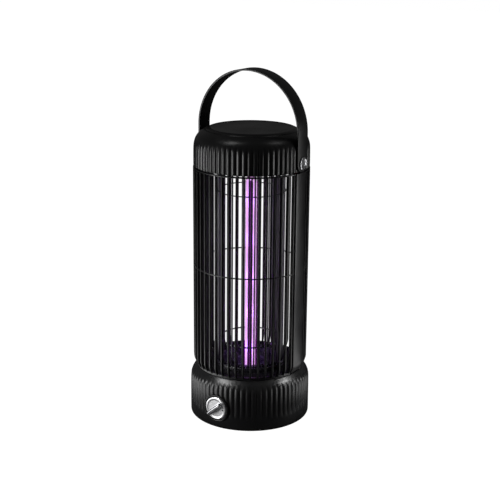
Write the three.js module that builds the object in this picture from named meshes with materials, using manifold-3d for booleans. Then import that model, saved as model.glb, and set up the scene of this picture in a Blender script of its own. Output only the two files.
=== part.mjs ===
import * as THREE from 'three';
import { mergeVertices } from 'three/addons/utils/BufferGeometryUtils.js';
import Module from 'manifold-3d';

const kernel = await Module();
kernel.setup();

// Lantern-shaped electric bug zapper. Millimetres, +Z up, front (knob) towards -Y,
// handle pivots on +X and -X, origin at the middle of the foot pad's underside.

// ---- driving sizes ----
const bodyRadius = 60;          // outside of the guard bars
const bodyHeight = 307.4;       // floor to the top of the lid
const baseHeight = 54;          // floor to the deck inside the guard
const capHeight = 39.1;         // lower edge of the cap to the top of the lid
const baseFlare = 3.2;          // how far the base stands out beyond the guard
const capInset = 0.4;           // how far the cap lies inside the guard
const neckInset = 3.4;          // how far the neck above the base is drawn in
const neckRise = 9.2;           // height over which the guard curves in to the neck
const padThickness = 1.5;
const floorLift = 0.8;          // shell edge above the floor
const shellWall = 1.8;          // wall left behind a flute
const deckThickness = 2.5;
const fluteCount = 68;
const fluteDepth = 1.2;
const barsPerHalf = 22;
const barDepth = 3.5;
const barThickness = 1.7;
const hoopHeight = 1.2;
const pillarWidth = 18.2;
const pillarDepth = 5;
const gridRadius = 34.4;
const wireRadius = 0.8;
const wiresPerGrid = 18;
const lampRadius = 3.1;
const lampSpread = 4.35;        // lamp axis to the axis of either leg
const strapWidth = 18.2;
const strapThickness = 1.8;
const pivotRadius = 3;
const rivetHeadRadius = 6.5;
const knobRadius = 12.6;
const shaftRadius = 3;
const cellRadius = 9.2;
const cellLength = 65;
const screwRadius = 1.4;
const screwHeadRadius = 2.6;
const gap = 0.3;                // between pieces that are fastened together
const runningGap = 0.05;        // round a pin that turns
const faceTolerance = 0.01;     // a joined shape's faces may move this far to save triangles

// ---- sizes that follow ----
const baseRadius = bodyRadius + baseFlare;
const baseCavity = baseRadius - fluteDepth - shellWall;
const neckRadius = bodyRadius - neckInset;
const shoulderDrop = baseRadius - neckRadius;
const deckUnderside = baseHeight - deckThickness;
const deckCavity = neckRadius - 2.1;
const padRadius = baseRadius - 13.2;
const recessTop = padThickness + gap;
const coverTop = recessTop + 2;
const coverRadius = baseCavity - gap;
const coverScrewCircle = baseCavity - 4.2;
const screwHole = screwRadius + gap;

const cageBottom = baseHeight + gap;
const capBottom = bodyHeight - capHeight;
const cageTop = capBottom - 0.9;
const capRadius = bodyRadius - capInset;
const capCavity = capRadius - fluteDepth - shellWall;
const flatX = capRadius - 1.4;
const strapInner = flatX + 0.4;
const strapOuter = strapInner + strapThickness;
const strapEndRadius = strapWidth / 2;
const pivotHeight = cageTop + strapEndRadius + 0.4;
const archBase = bodyHeight - 1.4;
const lidRadius = capRadius * 0.79;
const lidSeat = bodyHeight - 2.7;
const floorTop = capBottom + 2.5;

const bezelInner = knobRadius + 0.5;
const bezelOuter = bezelInner + 1.5;
const bezelFlange = bezelOuter + 2.8;
const knobHeight = coverTop + bezelFlange + 1;
const flangeFront = Math.sqrt(baseCavity ** 2 - bezelFlange ** 2) - gap;
const flangeBack = flangeFront - 1.6;
const switchFront = flangeBack - gap;
const switchBack = switchFront - 10;
const bezelFront = baseRadius + 1;
const knobFace = baseRadius + 1.5;
const knobBack = knobFace - 5.2;

const cradleTop = coverTop + gap + 1;
const cellHeight = cradleTop + gap + cellRadius;
const cellOffset = cellRadius + 1;
const boardBottom = cellHeight + cellRadius + 3;
const boardTop = boardBottom + 1.6;
const boardHalfX = baseCavity * 0.6;
const boardFront = -baseCavity * 0.5;
const boardRear = baseCavity * 0.62;

const portHeight = knobHeight;
const portHalfX = 10.6;
const portHalfZ = 8.2;
const portFloor = baseRadius - 3.8;
const flapHingeY = portFloor + 1.5;
const flapHingeZ = portHeight - portHalfZ + 1.3;
const flapPinRadius = 0.5;

const gridInner = gridRadius - 1;
const seatInner = gridInner - wireRadius - 2;
const seatOuter = gridRadius + wireRadius + 2.2;
const lowerSeatTop = cageBottom + 5.7;
const upperSeatTop = capBottom - gap;
const upperSeatBottom = upperSeatTop - 3.8;
const wireBottom = cageBottom + 1.8;
const wireTop = upperSeatTop - 1.8;
const lampTop = cageTop - 10.4;
const wellRadius = 14.7;
const wellFloor = baseHeight - 6;
const lampFoot = wellFloor - 1.6;
const blockInner = neckRadius - 10.6;
const blockHalfY = pillarWidth * 0.38;
const pillarScrewX = blockInner + 3.5;
const leadX = neckRadius - 3;

// ---- materials ----
const blackShell = { color: 0x0b0b0c, roughness: 0.34, metalness: 0 };
const blackGuard = { color: 0x0c0c0d, roughness: 0.38, metalness: 0 };
const blackStrap = { color: 0x08080a, roughness: 0.3, metalness: 0 };
const blackRubber = { color: 0x131313, roughness: 0.85, metalness: 0 };
const chrome = { color: 0xd8d9dc, roughness: 0.14, metalness: 1 };
const steel = { color: 0xa4a6aa, roughness: 0.34, metalness: 1 };
const insulator = { color: 0x39363f, roughness: 0.55, metalness: 0 };
const innerPlastic = { color: 0x242427, roughness: 0.6, metalness: 0 };
const violetGlass = { color: 0xd7a6ff, roughness: 0.1, metalness: 0 };
const boardGreen = { color: 0x145231, roughness: 0.5, metalness: 0 };
const cellBlue = { color: 0x25579c, roughness: 0.4, metalness: 0 };
const darkFerrite = { color: 0x26241f, roughness: 0.7, metalness: 0 };
const leadRed = { color: 0xa3201c, roughness: 0.5, metalness: 0 };

// ---- shape helpers ----
function piece(name, geometry, finish) {
  const flat = geometry.index ? geometry.toNonIndexed() : geometry;
  flat.computeVertexNormals();
  const mesh = new THREE.Mesh(flat, new THREE.MeshStandardMaterial(finish));
  mesh.name = name;
  return mesh;
}

function signedVolume(spots, corners) {
  const a = new THREE.Vector3();
  const b = new THREE.Vector3();
  const c = new THREE.Vector3();
  let total = 0;
  for (let i = 0; i < corners.length; i += 3) {
    a.fromArray(spots, corners[i] * 3);
    b.fromArray(spots, corners[i + 1] * 3);
    c.fromArray(spots, corners[i + 2] * 3);
    total += a.dot(b.cross(c));
  }
  return total;
}

// Joins matching corners, drops empty triangles and turns the skin to face out.
function cleaned(geometry) {
  const bare = new THREE.BufferGeometry();
  bare.setAttribute('position', geometry.getAttribute('position').clone());
  if (geometry.index) {
    bare.setIndex(geometry.index.clone());
  }
  const joined = mergeVertices(bare, 1e-4);
  const spots = joined.getAttribute('position').array;
  const kept = [];
  const all = joined.index.array;
  for (let i = 0; i < all.length; i += 3) {
    const [a, b, c] = [all[i], all[i + 1], all[i + 2]];
    if (a !== b && b !== c && c !== a) {
      kept.push(a, b, c);
    }
  }
  if (signedVolume(spots, kept) < 0) {
    kept.reverse();
  }
  joined.setIndex(kept);
  return joined;
}

function toSolid(geometry) {
  const clean = cleaned(geometry);
  const mesh = new kernel.Mesh({
    numProp: 3,
    vertProperties: new Float32Array(clean.getAttribute('position').array),
    triVerts: new Uint32Array(clean.index.array),
  });
  return new kernel.Manifold(mesh);
}

function fromSolid(solid) {
  const mesh = solid.simplify(faceTolerance).getMesh();
  const geometry = new THREE.BufferGeometry();
  geometry.setAttribute('position', new THREE.BufferAttribute(mesh.vertProperties, 3));
  geometry.setIndex(new THREE.BufferAttribute(mesh.triVerts, 1));
  return geometry;
}

function join(parts) {
  return kernel.Manifold.union(parts.map(toSolid));
}

function carve(body, cutters) {
  return fromSolid(body.subtract(join(cutters)));
}

function ringPoints(radius, count, centreX = 0, centreY = 0) {
  const points = [];
  for (let i = 0; i < count; i += 1) {
    const angle = (i / count) * Math.PI * 2;
    const x = centreX + radius * Math.cos(angle);
    const y = centreY + radius * Math.sin(angle);
    points.push(new THREE.Vector2(x, y));
  }
  return points;
}

// Straight-sided solid on a flat outline, standing on z = low.
function prism(outline, low, high, holes = []) {
  const shape = new THREE.Shape(outline);
  for (const hole of holes) {
    shape.holes.push(new THREE.Path(hole));
  }
  const settings = { depth: high - low, bevelEnabled: false, steps: 1 };
  const geometry = new THREE.ExtrudeGeometry(shape, settings);
  geometry.translate(0, 0, low);
  return cleaned(geometry);
}

function block(lowX, highX, lowY, highY, lowZ, highZ) {
  const geometry = new THREE.BoxGeometry(highX - lowX, highY - lowY, highZ - lowZ);
  geometry.translate((lowX + highX) / 2, (lowY + highY) / 2, (lowZ + highZ) / 2);
  return geometry;
}

function post(radius, low, high, sides = 24, x = 0, y = 0) {
  return prism(ringPoints(radius, sides, x, y), low, high);
}

// Upright solid turned to lie along X or Y.
function alongX(geometry) {
  geometry.rotateY(Math.PI / 2);
  return geometry;
}

function alongMinusY(geometry) {
  geometry.rotateX(Math.PI / 2);
  return geometry;
}

// Solid of revolution about Z from [radius, height] corners.
function turned(corners, segments = 32) {
  const points = corners.map(([radius, height]) => new THREE.Vector2(radius, height));
  const geometry = new THREE.LatheGeometry(points, segments);
  geometry.rotateX(Math.PI / 2);
  return cleaned(geometry);
}

// Closed loop of corners turned about Z, for a shape that does not reach the axis.
function turnedRing(corners, segments = 32) {
  return turned([...corners, corners[0]], segments);
}

// Upright body whose wall has ridges and grooves; rows are [height, radius, depth].
// A row of no depth needs only its ridge points.
function flutedBody(rows) {
  const spots = [];
  const starts = [];
  for (const [height, radius, depth] of rows) {
    starts.push(spots.length / 3);
    const around = depth > 0 ? fluteCount * 2 : fluteCount;
    for (let i = 0; i < around; i += 1) {
      const angle = (i / around) * Math.PI * 2;
      const reach = i % 2 === 0 ? radius : radius - depth;
      spots.push(reach * Math.cos(angle), reach * Math.sin(angle), height);
    }
  }
  const corners = [];
  for (let row = 0; row + 1 < rows.length; row += 1) {
    const low = rowWalker(starts[row], rows[row][2] > 0);
    const high = rowWalker(starts[row + 1], rows[row + 1][2] > 0);
    for (let i = 0; i < fluteCount; i += 1) {
      bandCorners(corners, low(i), high(i));
    }
  }
  const middle = spots.length / 3;
  spots.push(0, 0, rows[0][0], 0, 0, rows[rows.length - 1][0]);
  const bottom = rowWalker(starts[0], rows[0][2] > 0);
  const top = rowWalker(starts[rows.length - 1], rows[rows.length - 1][2] > 0);
  for (let i = 0; i < fluteCount; i += 1) {
    fanCorners(corners, middle, bottom(i).reverse());
    fanCorners(corners, middle + 1, top(i));
  }
  const geometry = new THREE.BufferGeometry();
  geometry.setAttribute('position', new THREE.Float32BufferAttribute(spots, 3));
  geometry.setIndex(corners);
  return geometry;
}

// Gives the points of one row from ridge i to the next ridge.
function rowWalker(start, grooved) {
  if (grooved) {
    const around = fluteCount * 2;
    return (i) => [start + i * 2, start + i * 2 + 1, start + ((i * 2 + 2) % around)];
  }
  return (i) => [start + i, start + ((i + 1) % fluteCount)];
}

function bandCorners(corners, low, high) {
  const lowEnd = low[low.length - 1];
  const highMiddle = high[high.length - 2];
  fanCorners(corners, highMiddle, low);
  if (high.length === 3) {
    corners.push(high[0], low[0], highMiddle);
  }
  corners.push(highMiddle, lowEnd, high[high.length - 1]);
}

function fanCorners(corners, centre, rim) {
  for (let i = 0; i + 1 < rim.length; i += 1) {
    corners.push(centre, rim[i], rim[i + 1]);
  }
}

// Round rod that follows [x, z] points in the plane y = 0.
function bentRod(path, radius, sides) {
  const spots = [];
  const corners = [];
  path.forEach(([x, z], step) => {
    const before = path[Math.max(step - 1, 0)];
    const after = path[Math.min(step + 1, path.length - 1)];
    const along = new THREE.Vector2(after[0] - before[0], after[1] - before[1]).normalize();
    for (let i = 0; i < sides; i += 1) {
      const angle = (i / sides) * Math.PI * 2;
      const out = radius * Math.cos(angle);
      spots.push(x + along.y * out, radius * Math.sin(angle), z - along.x * out);
    }
  });
  for (let i = 0; i < sides; i += 1) {
    const next = (i + 1) % sides;
    for (let step = 0; step + 1 < path.length; step += 1) {
      const here = step * sides;
      const above = here + sides;
      corners.push(here + i, here + next, above + next);
      corners.push(here + i, above + next, above + i);
    }
  }
  const last = (path.length - 1) * sides;
  for (let i = 1; i + 1 < sides; i += 1) {
    corners.push(0, i + 1, i);
    corners.push(last, last + i, last + i + 1);
  }
  const geometry = new THREE.BufferGeometry();
  geometry.setAttribute('position', new THREE.Float32BufferAttribute(spots, 3));
  geometry.setIndex(corners);
  return cleaned(geometry);
}

function screw(length) {
  const headHeight = 0.9;
  const body = turned([
    [0, 0],
    [screwHeadRadius - 0.3, 0],
    [screwHeadRadius, 0.3],
    [screwHeadRadius, headHeight],
    [screwRadius, headHeight],
    [screwRadius, length - 1],
    [screwRadius * 0.4, length],
    [0, length],
  ], 12);
  const slot = block(-1.7, 1.7, -0.35, 0.35, -0.1, 0.5);
  return carve(toSolid(body), [slot]);
}

function coverScrewSpots() {
  const spots = [];
  for (let i = 0; i < 4; i += 1) {
    const angle = (i + 0.5) * (Math.PI / 2);
    const x = coverScrewCircle * Math.cos(angle);
    const y = coverScrewCircle * Math.sin(angle);
    spots.push({ x, y, angle });
  }
  return spots;
}

// ---- foot and base ----
function rubberPad() {
  return turned([
    [0, 0],
    [padRadius - 0.5, 0],
    [padRadius, 0.4],
    [padRadius, padThickness],
    [0, padThickness],
  ], 40);
}

function bottomCover() {
  const spots = coverScrewSpots();
  const recess = ringPoints(padRadius + gap, 40);
  const headPockets = spots.map(({ x, y }) => ringPoints(screwHeadRadius + gap, 12, x, y));
  const screwHoles = spots.map(({ x, y }) => ringPoints(screwHole, 8, x, y));
  const outline = ringPoints(coverRadius, 48);
  const rim = prism(outline, floorLift, recessTop + 0.01, [recess, ...headPockets]);
  const plate = prism(outline, recessTop, coverTop, screwHoles);
  const posts = [];
  for (const x of [-boardHalfX + 5, boardHalfX - 5]) {
    for (const y of [boardFront + 4, boardRear - 4]) {
      posts.push(post(2.5, coverTop - 0.5, boardBottom - gap, 8, x, y));
    }
  }
  return fromSolid(join([rim, plate, ...posts]));
}

function coverScrews() {
  return coverScrewSpots().map(({ x, y }, index) => {
    const mesh = piece(`cover_screw_${index + 1}`, screw(11), steel);
    mesh.position.set(x, y, floorLift + 0.1);
    return mesh;
  });
}

function baseOutside() {
  const below = (share) => baseRadius - shoulderDrop * share;
  return flutedBody([
    [floorLift, baseRadius - 0.8, 0],
    [floorLift + 0.9, baseRadius, 0],
    [baseHeight * 0.22, baseRadius, 0],
    [baseHeight * 0.28, baseRadius, fluteDepth],
    [baseHeight * 0.78, below(0.03), fluteDepth],
    [baseHeight * 0.9, below(0.36), 0],
    [baseHeight * 0.963, below(0.7), 0],
    [baseHeight, neckRadius, 0],
  ]);
}

function baseInside() {
  return turned([
    [0, -1],
    [baseCavity, -1],
    [baseCavity, baseHeight * 0.78],
    [baseCavity - shoulderDrop * 0.42, baseHeight * 0.905],
    [deckCavity, deckUnderside],
    [0, deckUnderside],
  ], 48);
}

function screwBosses() {
  const solids = [];
  for (const { x, y, angle } of coverScrewSpots()) {
    solids.push(post(3.2, coverTop + gap, coverTop + 13, 16, x, y));
    const rib = block(1.5, baseCavity - coverScrewCircle + 0.8, -1.2, 1.2, 0, 12.4);
    rib.rotateZ(angle);
    rib.translate(x, y, coverTop + gap);
    solids.push(rib);
  }
  return solids;
}

// Plain patch in the fluted wall that carries the charging port.
function portSurround() {
  const high = portHeight + portHalfZ + 2.8;
  const low = portHeight - portHalfZ - 2.8;
  const slab = toSolid(block(-portHalfX - 3, portHalfX + 3, portFloor - 2.8, baseRadius + 2, low, high));
  return slab.intersect(toSolid(post(baseRadius + 0.25, low - 1, high + 1, 144)));
}

function baseShell() {
  const plainWall = toSolid(baseOutside()).subtract(toSolid(baseInside()));
  const body = plainWall.add(join(screwBosses())).add(portSurround());
  const cutters = [];
  for (const { x, y } of coverScrewSpots()) {
    cutters.push(post(screwHole, coverTop, coverTop + 11, 8, x, y));
  }
  const knobHole = alongMinusY(post(bezelOuter + gap, flangeFront, baseRadius + 3, 32));
  knobHole.translate(0, 0, knobHeight);
  cutters.push(knobHole);
  const [lowZ, highZ] = [portHeight - portHalfZ, portHeight + portHalfZ];
  cutters.push(block(-portHalfX, portHalfX, portFloor, baseRadius + 3, lowZ, highZ));
  cutters.push(block(-5, 5, portFloor - 5, portFloor + 1, portHeight - 2.1, portHeight + 2.1));
  const pinHole = alongX(post(flapPinRadius + gap, -portHalfX - 1.9, portHalfX + 1.9, 12));
  pinHole.translate(0, flapHingeY, flapHingeZ);
  cutters.push(pinHole);
  cutters.push(post(wellRadius + 1 + gap, deckUnderside - 1, baseHeight + 1, 40));
  for (const side of [-1, 1]) {
    cutters.push(post(screwHole, deckUnderside - 1, baseHeight + 1, 12, side * pillarScrewX, 0));
    cutters.push(post(screwRadius, deckUnderside - 4, baseHeight + 1, 12, side * leadX, 0));
  }
  return carve(body, cutters);
}

// ---- inside the base ----
function batteryCradle() {
  const halfX = cellLength / 2 + 2.5;
  const halfY = cellOffset + cellRadius + 1;
  const plate = block(-halfX, halfX, -halfY, halfY, coverTop + gap, cradleTop);
  const left = block(-halfX, -halfX + 2, -halfY, halfY, cradleTop - 0.2, cellHeight);
  const right = block(halfX - 2, halfX, -halfY, halfY, cradleTop - 0.2, cellHeight);
  return fromSolid(join([plate, left, right]));
}

function batteryCells() {
  return [-1, 1].map((side, index) => {
    const cell = turned([
      [0, 0],
      [cellRadius - 0.4, 0],
      [cellRadius, 0.4],
      [cellRadius, cellLength - 1.4],
      [cellRadius - 0.6, cellLength - 1],
      [3, cellLength - 1],
      [3, cellLength],
      [0, cellLength],
    ], 24);
    cell.translate(0, 0, -cellLength / 2);
    const mesh = piece(`battery_cell_${index + 1}`, cell, cellBlue);
    mesh.rotation.y = side * (Math.PI / 2);
    mesh.position.set(0, side * cellOffset, cellHeight);
    return mesh;
  });
}

function circuitBoard() {
  return block(-boardHalfX, boardHalfX, boardFront, boardRear, boardBottom, boardTop);
}

function transformer() {
  const low = boardTop + gap;
  const high = Math.min(low + 15, deckUnderside - 3);
  const core = block(-22, -2, 2, 6, low, high);
  const backCore = block(-22, -2, 14, 18, low, high);
  const middle = (low + high) / 2;
  const winding = alongMinusY(post((high - low) * 0.42, -16, -4, 20));
  winding.translate(-12, 0, middle);
  return fromSolid(join([core, backCore, winding]));
}

function capacitor() {
  const height = Math.min(14, deckUnderside - 3 - boardTop);
  const can = turned([
    [0, 0],
    [5, 0],
    [5.5, 0.5],
    [5.5, height - 0.5],
    [5, height],
    [0, height],
  ], 20);
  return can;
}

function chargeBoard() {
  const high = portHeight - 1.6 - gap;
  return block(-9, 9, portFloor - 16, portFloor - 3.1, high - 1.2, high);
}

function usbSocket() {
  const [back, front] = [portFloor - 8, portFloor - 0.5];
  const shell = block(-4.5, 4.5, back, front, portHeight - 1.6, portHeight + 1.6);
  const hollow = toSolid(block(-4.1, 4.1, back + 1.2, front + 1, portHeight - 1.2, portHeight + 1.2));
  const tongue = toSolid(block(-3, 3, back + 0.8, front - 1, portHeight - 0.35, portHeight + 0.35));
  return fromSolid(toSolid(shell).subtract(hollow).add(tongue));
}

// ---- rotary switch ----
function rotarySwitch() {
  const half = bezelOuter * 0.75;
  const body = toSolid(block(-half, half, -switchFront, -switchBack, knobHeight - half, knobHeight + half));
  const bore = alongMinusY(post(shaftRadius + runningGap, switchBack + 1, switchFront + 1, 32));
  bore.translate(0, 0, knobHeight);
  return carve(body, [bore]);
}

function switchShaft() {
  const shaft = alongMinusY(post(shaftRadius, switchBack + 1.5, knobFace - 2.2, 32));
  shaft.translate(0, 0, knobHeight);
  return shaft;
}

function knobBezel() {
  const ring = turnedRing([
    [bezelInner, flangeBack],
    [bezelFlange, flangeBack],
    [bezelFlange, flangeFront],
    [bezelOuter, flangeFront],
    [bezelOuter, bezelFront - 0.5],
    [bezelOuter - 0.5, bezelFront],
    [bezelInner + 0.4, bezelFront],
    [bezelInner, bezelFront - 0.4],
  ], 32);
  alongMinusY(ring);
  ring.translate(0, 0, knobHeight);
  return ring;
}

const markReach = knobRadius * 0.7;
const wingTurn = 0.72;
const wingHeight = 5;

function wingOutline(halfLength, halfWidth) {
  const points = [];
  const reach = halfLength - halfWidth;
  for (let i = 0; i <= 8; i += 1) {
    const angle = -Math.PI / 2 + (i / 8) * Math.PI;
    points.push(new THREE.Vector2(reach + halfWidth * Math.cos(angle), halfWidth * Math.sin(angle)));
  }
  for (let i = 0; i <= 8; i += 1) {
    const angle = Math.PI / 2 + (i / 8) * Math.PI;
    points.push(new THREE.Vector2(-reach + halfWidth * Math.cos(angle), halfWidth * Math.sin(angle)));
  }
  return points;
}

function switchKnob() {
  const disc = turned([
    [0, knobBack],
    [knobRadius, knobBack],
    [knobRadius, knobFace - 1],
    [knobRadius - 1.1, knobFace],
    [0, knobFace],
  ], 32);
  const wing = prism(wingOutline(knobRadius * 0.8, 2.6), knobFace - 0.5, knobFace + wingHeight);
  wing.rotateZ(wingTurn);
  const shaftSocket = post(shaftRadius + gap, knobBack - 1, knobFace - 1.9, 24);
  const markPocket = post(1.2, knobFace - 1.2, knobFace + 1, 12, markReach, 0);
  const knob = carve(join([disc, wing]), [shaftSocket, markPocket]);
  alongMinusY(knob);
  knob.translate(0, 0, knobHeight);
  return knob;
}

function knobMark() {
  const mark = alongMinusY(post(0.9, knobFace - 0.9, knobFace + 0.1, 12, markReach, 0));
  mark.translate(0, 0, knobHeight);
  return mark;
}

// ---- charging port flap ----
function portFlap() {
  const reach = portHalfX - 0.4;
  const top = portHeight + portHalfZ - 0.4;
  const plate = block(-reach, reach, portFloor + 0.5, portFloor + 2.5, flapHingeZ, top);
  const knuckle = alongX(post(0.95, -reach, reach, 16));
  knuckle.translate(0, flapHingeY, flapHingeZ);
  const grip = block(-4, 4, portFloor + 2.3, portFloor + 3.1, top - 2.4, top - 1.2);
  const bore = alongX(post(flapPinRadius + runningGap, -reach - 1, reach + 1, 24));
  bore.translate(0, flapHingeY, flapHingeZ);
  return carve(join([plate, knuckle, grip]), [bore]);
}

function flapPin() {
  const pin = alongX(post(flapPinRadius, -portHalfX - 1.6, portHalfX + 1.6, 24));
  pin.translate(0, flapHingeY, flapHingeZ);
  return pin;
}

// ---- killing grid and lamp ----
function lowerGridSeat() {
  return turnedRing([
    [seatInner, cageBottom],
    [seatOuter, cageBottom],
    [seatOuter, lowerSeatTop],
    [gridRadius + wireRadius + 0.4, lowerSeatTop],
    [gridRadius + wireRadius + 0.4, cageBottom + 1.5],
    [gridInner - wireRadius - 0.4, cageBottom + 1.5],
    [gridInner - wireRadius - 0.4, lowerSeatTop],
    [seatInner, lowerSeatTop],
  ], 28);
}

function upperGridSeat() {
  return turnedRing([
    [seatInner, upperSeatTop],
    [seatOuter, upperSeatTop],
    [seatOuter, upperSeatBottom],
    [gridRadius + wireRadius + 0.4, upperSeatBottom],
    [gridRadius + wireRadius + 0.4, upperSeatTop - 1.5],
    [gridInner - wireRadius - 0.4, upperSeatTop - 1.5],
    [gridInner - wireRadius - 0.4, upperSeatBottom],
    [seatInner, upperSeatBottom],
  ], 28);
}

// Every second wire of the cage, tied together by one hoop.
function wireGrid(radius, firstAngle, hoopInner, hoopOuter, hoopAt) {
  const [low, high] = [hoopAt - wireRadius, hoopAt + wireRadius];
  const hoop = prism(ringPoints(hoopOuter, wiresPerGrid * 2), low, high, [
    ringPoints(hoopInner, wiresPerGrid * 2),
  ]);
  hoop.rotateZ(firstAngle);
  const parts = [hoop];
  for (let i = 0; i < wiresPerGrid; i += 1) {
    const angle = firstAngle + (i / wiresPerGrid) * Math.PI * 2;
    const x = radius * Math.cos(angle);
    const y = radius * Math.sin(angle);
    parts.push(post(wireRadius, wireBottom, wireTop, 6, x, y));
  }
  return fromSolid(join(parts));
}

const wireStart = THREE.MathUtils.degToRad(9.5);
const wirePitch = Math.PI / wiresPerGrid;

function gridNeutral() {
  const hoopAt = upperSeatTop - 25.5;
  const hoopInner = gridRadius + wireRadius * 0.3;
  return wireGrid(gridRadius, wireStart, hoopInner, hoopInner + 1.2, hoopAt);
}

function gridLive() {
  const hoopAt = cageBottom + 26.8;
  const hoopOuter = gridInner - wireRadius * 0.5;
  return wireGrid(gridInner, wireStart + wirePitch, hoopOuter - 1.6, hoopOuter, hoopAt);
}

function lampTube() {
  const bendCentre = lampTop - lampRadius - lampSpread;
  const path = [[-lampSpread, lampFoot]];
  for (let i = 0; i <= 8; i += 1) {
    const angle = Math.PI - (i / 8) * Math.PI;
    path.push([lampSpread * Math.cos(angle), bendCentre + lampSpread * Math.sin(angle)]);
  }
  path.push([lampSpread, lampFoot]);
  return bentRod(path, lampRadius, 12);
}

// Shallow well hung in the deck, with a pocket for each leg of the lamp.
function lampSocket() {
  const holes = [-1, 1].map((side) => ringPoints(lampRadius + gap, 16, side * lampSpread, 0));
  const bed = prism(ringPoints(wellRadius + 0.5, 40), lampFoot - gap, wellFloor, holes);
  const plate = prism(ringPoints(wellRadius + 0.5, 40), lampFoot - 1.4, lampFoot - gap + 0.1);
  const wall = turnedRing([
    [wellRadius, lampFoot - 1.4],
    [wellRadius + 1, lampFoot - 1.4],
    [wellRadius + 1, cageBottom],
    [wellRadius + 3.4, cageBottom],
    [wellRadius + 3.4, cageBottom + 0.8],
    [wellRadius + 3, cageBottom + 1.2],
    [wellRadius, cageBottom + 1.2],
  ], 40);
  return fromSolid(join([bed, plate, wall]));
}

function lampStop() {
  return post(lampSpread + 1, lampTop + gap, upperSeatTop, 20);
}

// ---- guard ----
function barOutline() {
  const rise = cageBottom + 0.9;
  const outside = [
    [bodyRadius, cageTop - 0.5],
    [bodyRadius, rise + neckRise],
    [bodyRadius - neckInset * 0.32, rise + neckRise * 0.5],
    [neckRadius - 0.2, rise],
  ];
  const inside = outside.map(([radius, height]) => [radius - barDepth, height]).reverse();
  return [...outside, ...inside].map(([radius, height]) => new THREE.Vector2(radius, height));
}

function arcOutline(inner, outer, start, end, steps) {
  const points = [];
  for (let i = 0; i <= steps; i += 1) {
    const angle = start + ((end - start) * i) / steps;
    points.push(new THREE.Vector2(outer * Math.cos(angle), outer * Math.sin(angle)));
  }
  for (let i = steps; i >= 0; i -= 1) {
    const angle = start + ((end - start) * i) / steps;
    points.push(new THREE.Vector2(inner * Math.cos(angle), inner * Math.sin(angle)));
  }
  return points;
}

// Half of the guard, made for the rear and turned round for the front.
function guardHalf() {
  const pillarEdge = Math.asin(pillarWidth / 2 / bodyRadius);
  const firstBar = pillarEdge + THREE.MathUtils.degToRad(2.78);
  const pitch = (Math.PI - 2 * firstBar) / (barsPerHalf - 1);
  const parts = [];
  for (let i = 0; i < barsPerHalf; i += 1) {
    const bar = prism(barOutline(), -barThickness / 2, barThickness / 2);
    bar.rotateX(Math.PI / 2);
    bar.rotateZ(firstBar + i * pitch);
    parts.push(bar);
  }
  const start = pillarEdge + 0.012;
  const end = Math.PI - start;
  const hoopAt = (cageBottom + cageTop) / 2 + 3.2;
  const ring = (inner, outer, low, high) => {
    const arc = arcOutline(inner, outer, firstBar, Math.PI - firstBar, barsPerHalf - 1);
    return prism(arc, low, high);
  };
  const stub = (inner, outer, low, high) => [
    prism(arcOutline(inner, outer, start, firstBar, 1), low, high),
    prism(arcOutline(inner, outer, Math.PI - firstBar, end, 1), low, high),
  ];
  const lower = [neckRadius - barDepth - 0.6, neckRadius - 0.1, cageBottom, cageBottom + 2.6];
  const upper = [bodyRadius - barDepth - 0.5, bodyRadius + 0.2, cageTop - 1.2, cageTop];
  const hoop = [bodyRadius - 1.6, bodyRadius - 0.25, hoopAt - hoopHeight / 2, hoopAt + hoopHeight / 2];
  for (const size of [lower, upper, hoop]) {
    parts.push(ring(...size));
    parts.push(...stub(...size));
  }
  return fromSolid(join(parts));
}

// Outer face of the guard as one solid, used to trim the pillars.
function guardEnvelope() {
  const rise = cageBottom + 0.9;
  return turned([
    [0, cageBottom],
    [neckRadius - 0.6, cageBottom],
    [neckRadius - 0.2, rise],
    [bodyRadius - neckInset * 0.32, rise + neckRise * 0.5],
    [bodyRadius, rise + neckRise],
    [bodyRadius, cageTop],
    [0, cageTop],
  ], 120);
}

// Hollow post on +X that ties base to cap, open towards the lamp.
function pillar() {
  const half = pillarWidth / 2;
  const wall = 1.6;
  const inner = bodyRadius - pillarDepth;
  const shell = toSolid(block(inner, bodyRadius + 2, -half, half, cageBottom, cageTop));
  const channel = toSolid(block(
    inner - 1, bodyRadius - wall, -half + wall, half - wall, cageBottom - 1, cageTop + 1,
  ));
  const channelPost = shell.subtract(channel);
  const foot = block(blockInner, bodyRadius - 0.8, -blockHalfY, blockHalfY, cageBottom, cageBottom + 7.7);
  const head = block(blockInner, bodyRadius - 0.8, -blockHalfY, blockHalfY, cageTop - 7.7, cageTop);
  const body = channelPost.add(join([foot, head])).add(join([footWeb(cageBottom), footWeb(cageTop - 7.7)]));
  const outside = body.intersect(toSolid(guardEnvelope()));
  const cutters = [
    post(screwHole, cageBottom - 1, cageBottom + 6.5, 12, pillarScrewX, 0),
    post(screwHole, cageTop - 6.5, cageTop + 1, 12, pillarScrewX, 0),
    post(screwRadius, cageBottom - 1, cageTop + 1, 12, leadX, 0),
  ];
  return carve(outside, cutters);
}

// Short wall that fills the channel between the end blocks and the post's sides.
function footWeb(low) {
  const half = pillarWidth / 2 - 0.8;
  const inner = bodyRadius - pillarDepth + 1.2;
  return block(inner, bodyRadius - 0.8, -half, half, low, low + 7.7);
}

function topLead() {
  return post(screwRadius * 0.6, deckUnderside - 3, floorTop + 0.6, 10, leadX, 0);
}

function insectTray() {
  const outer = neckRadius - barDepth - 0.6 - gap;
  const inner = seatOuter + gap;
  const ring = toSolid(turnedRing([
    [inner, cageBottom],
    [outer, cageBottom],
    [outer, cageBottom + 2.4],
    [outer - 1.2, cageBottom + 2.4],
    [outer - 2, cageBottom + 1.1],
    [inner, cageBottom + 1.1],
  ]));
  const edge = blockHalfY + gap;
  const high = cageBottom + 4;
  return carve(ring, [
    block(blockInner - gap, bodyRadius, -edge, edge, cageBottom - 1, high),
    block(-bodyRadius, -blockInner + gap, -edge, edge, cageBottom - 1, high),
  ]);
}

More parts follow.
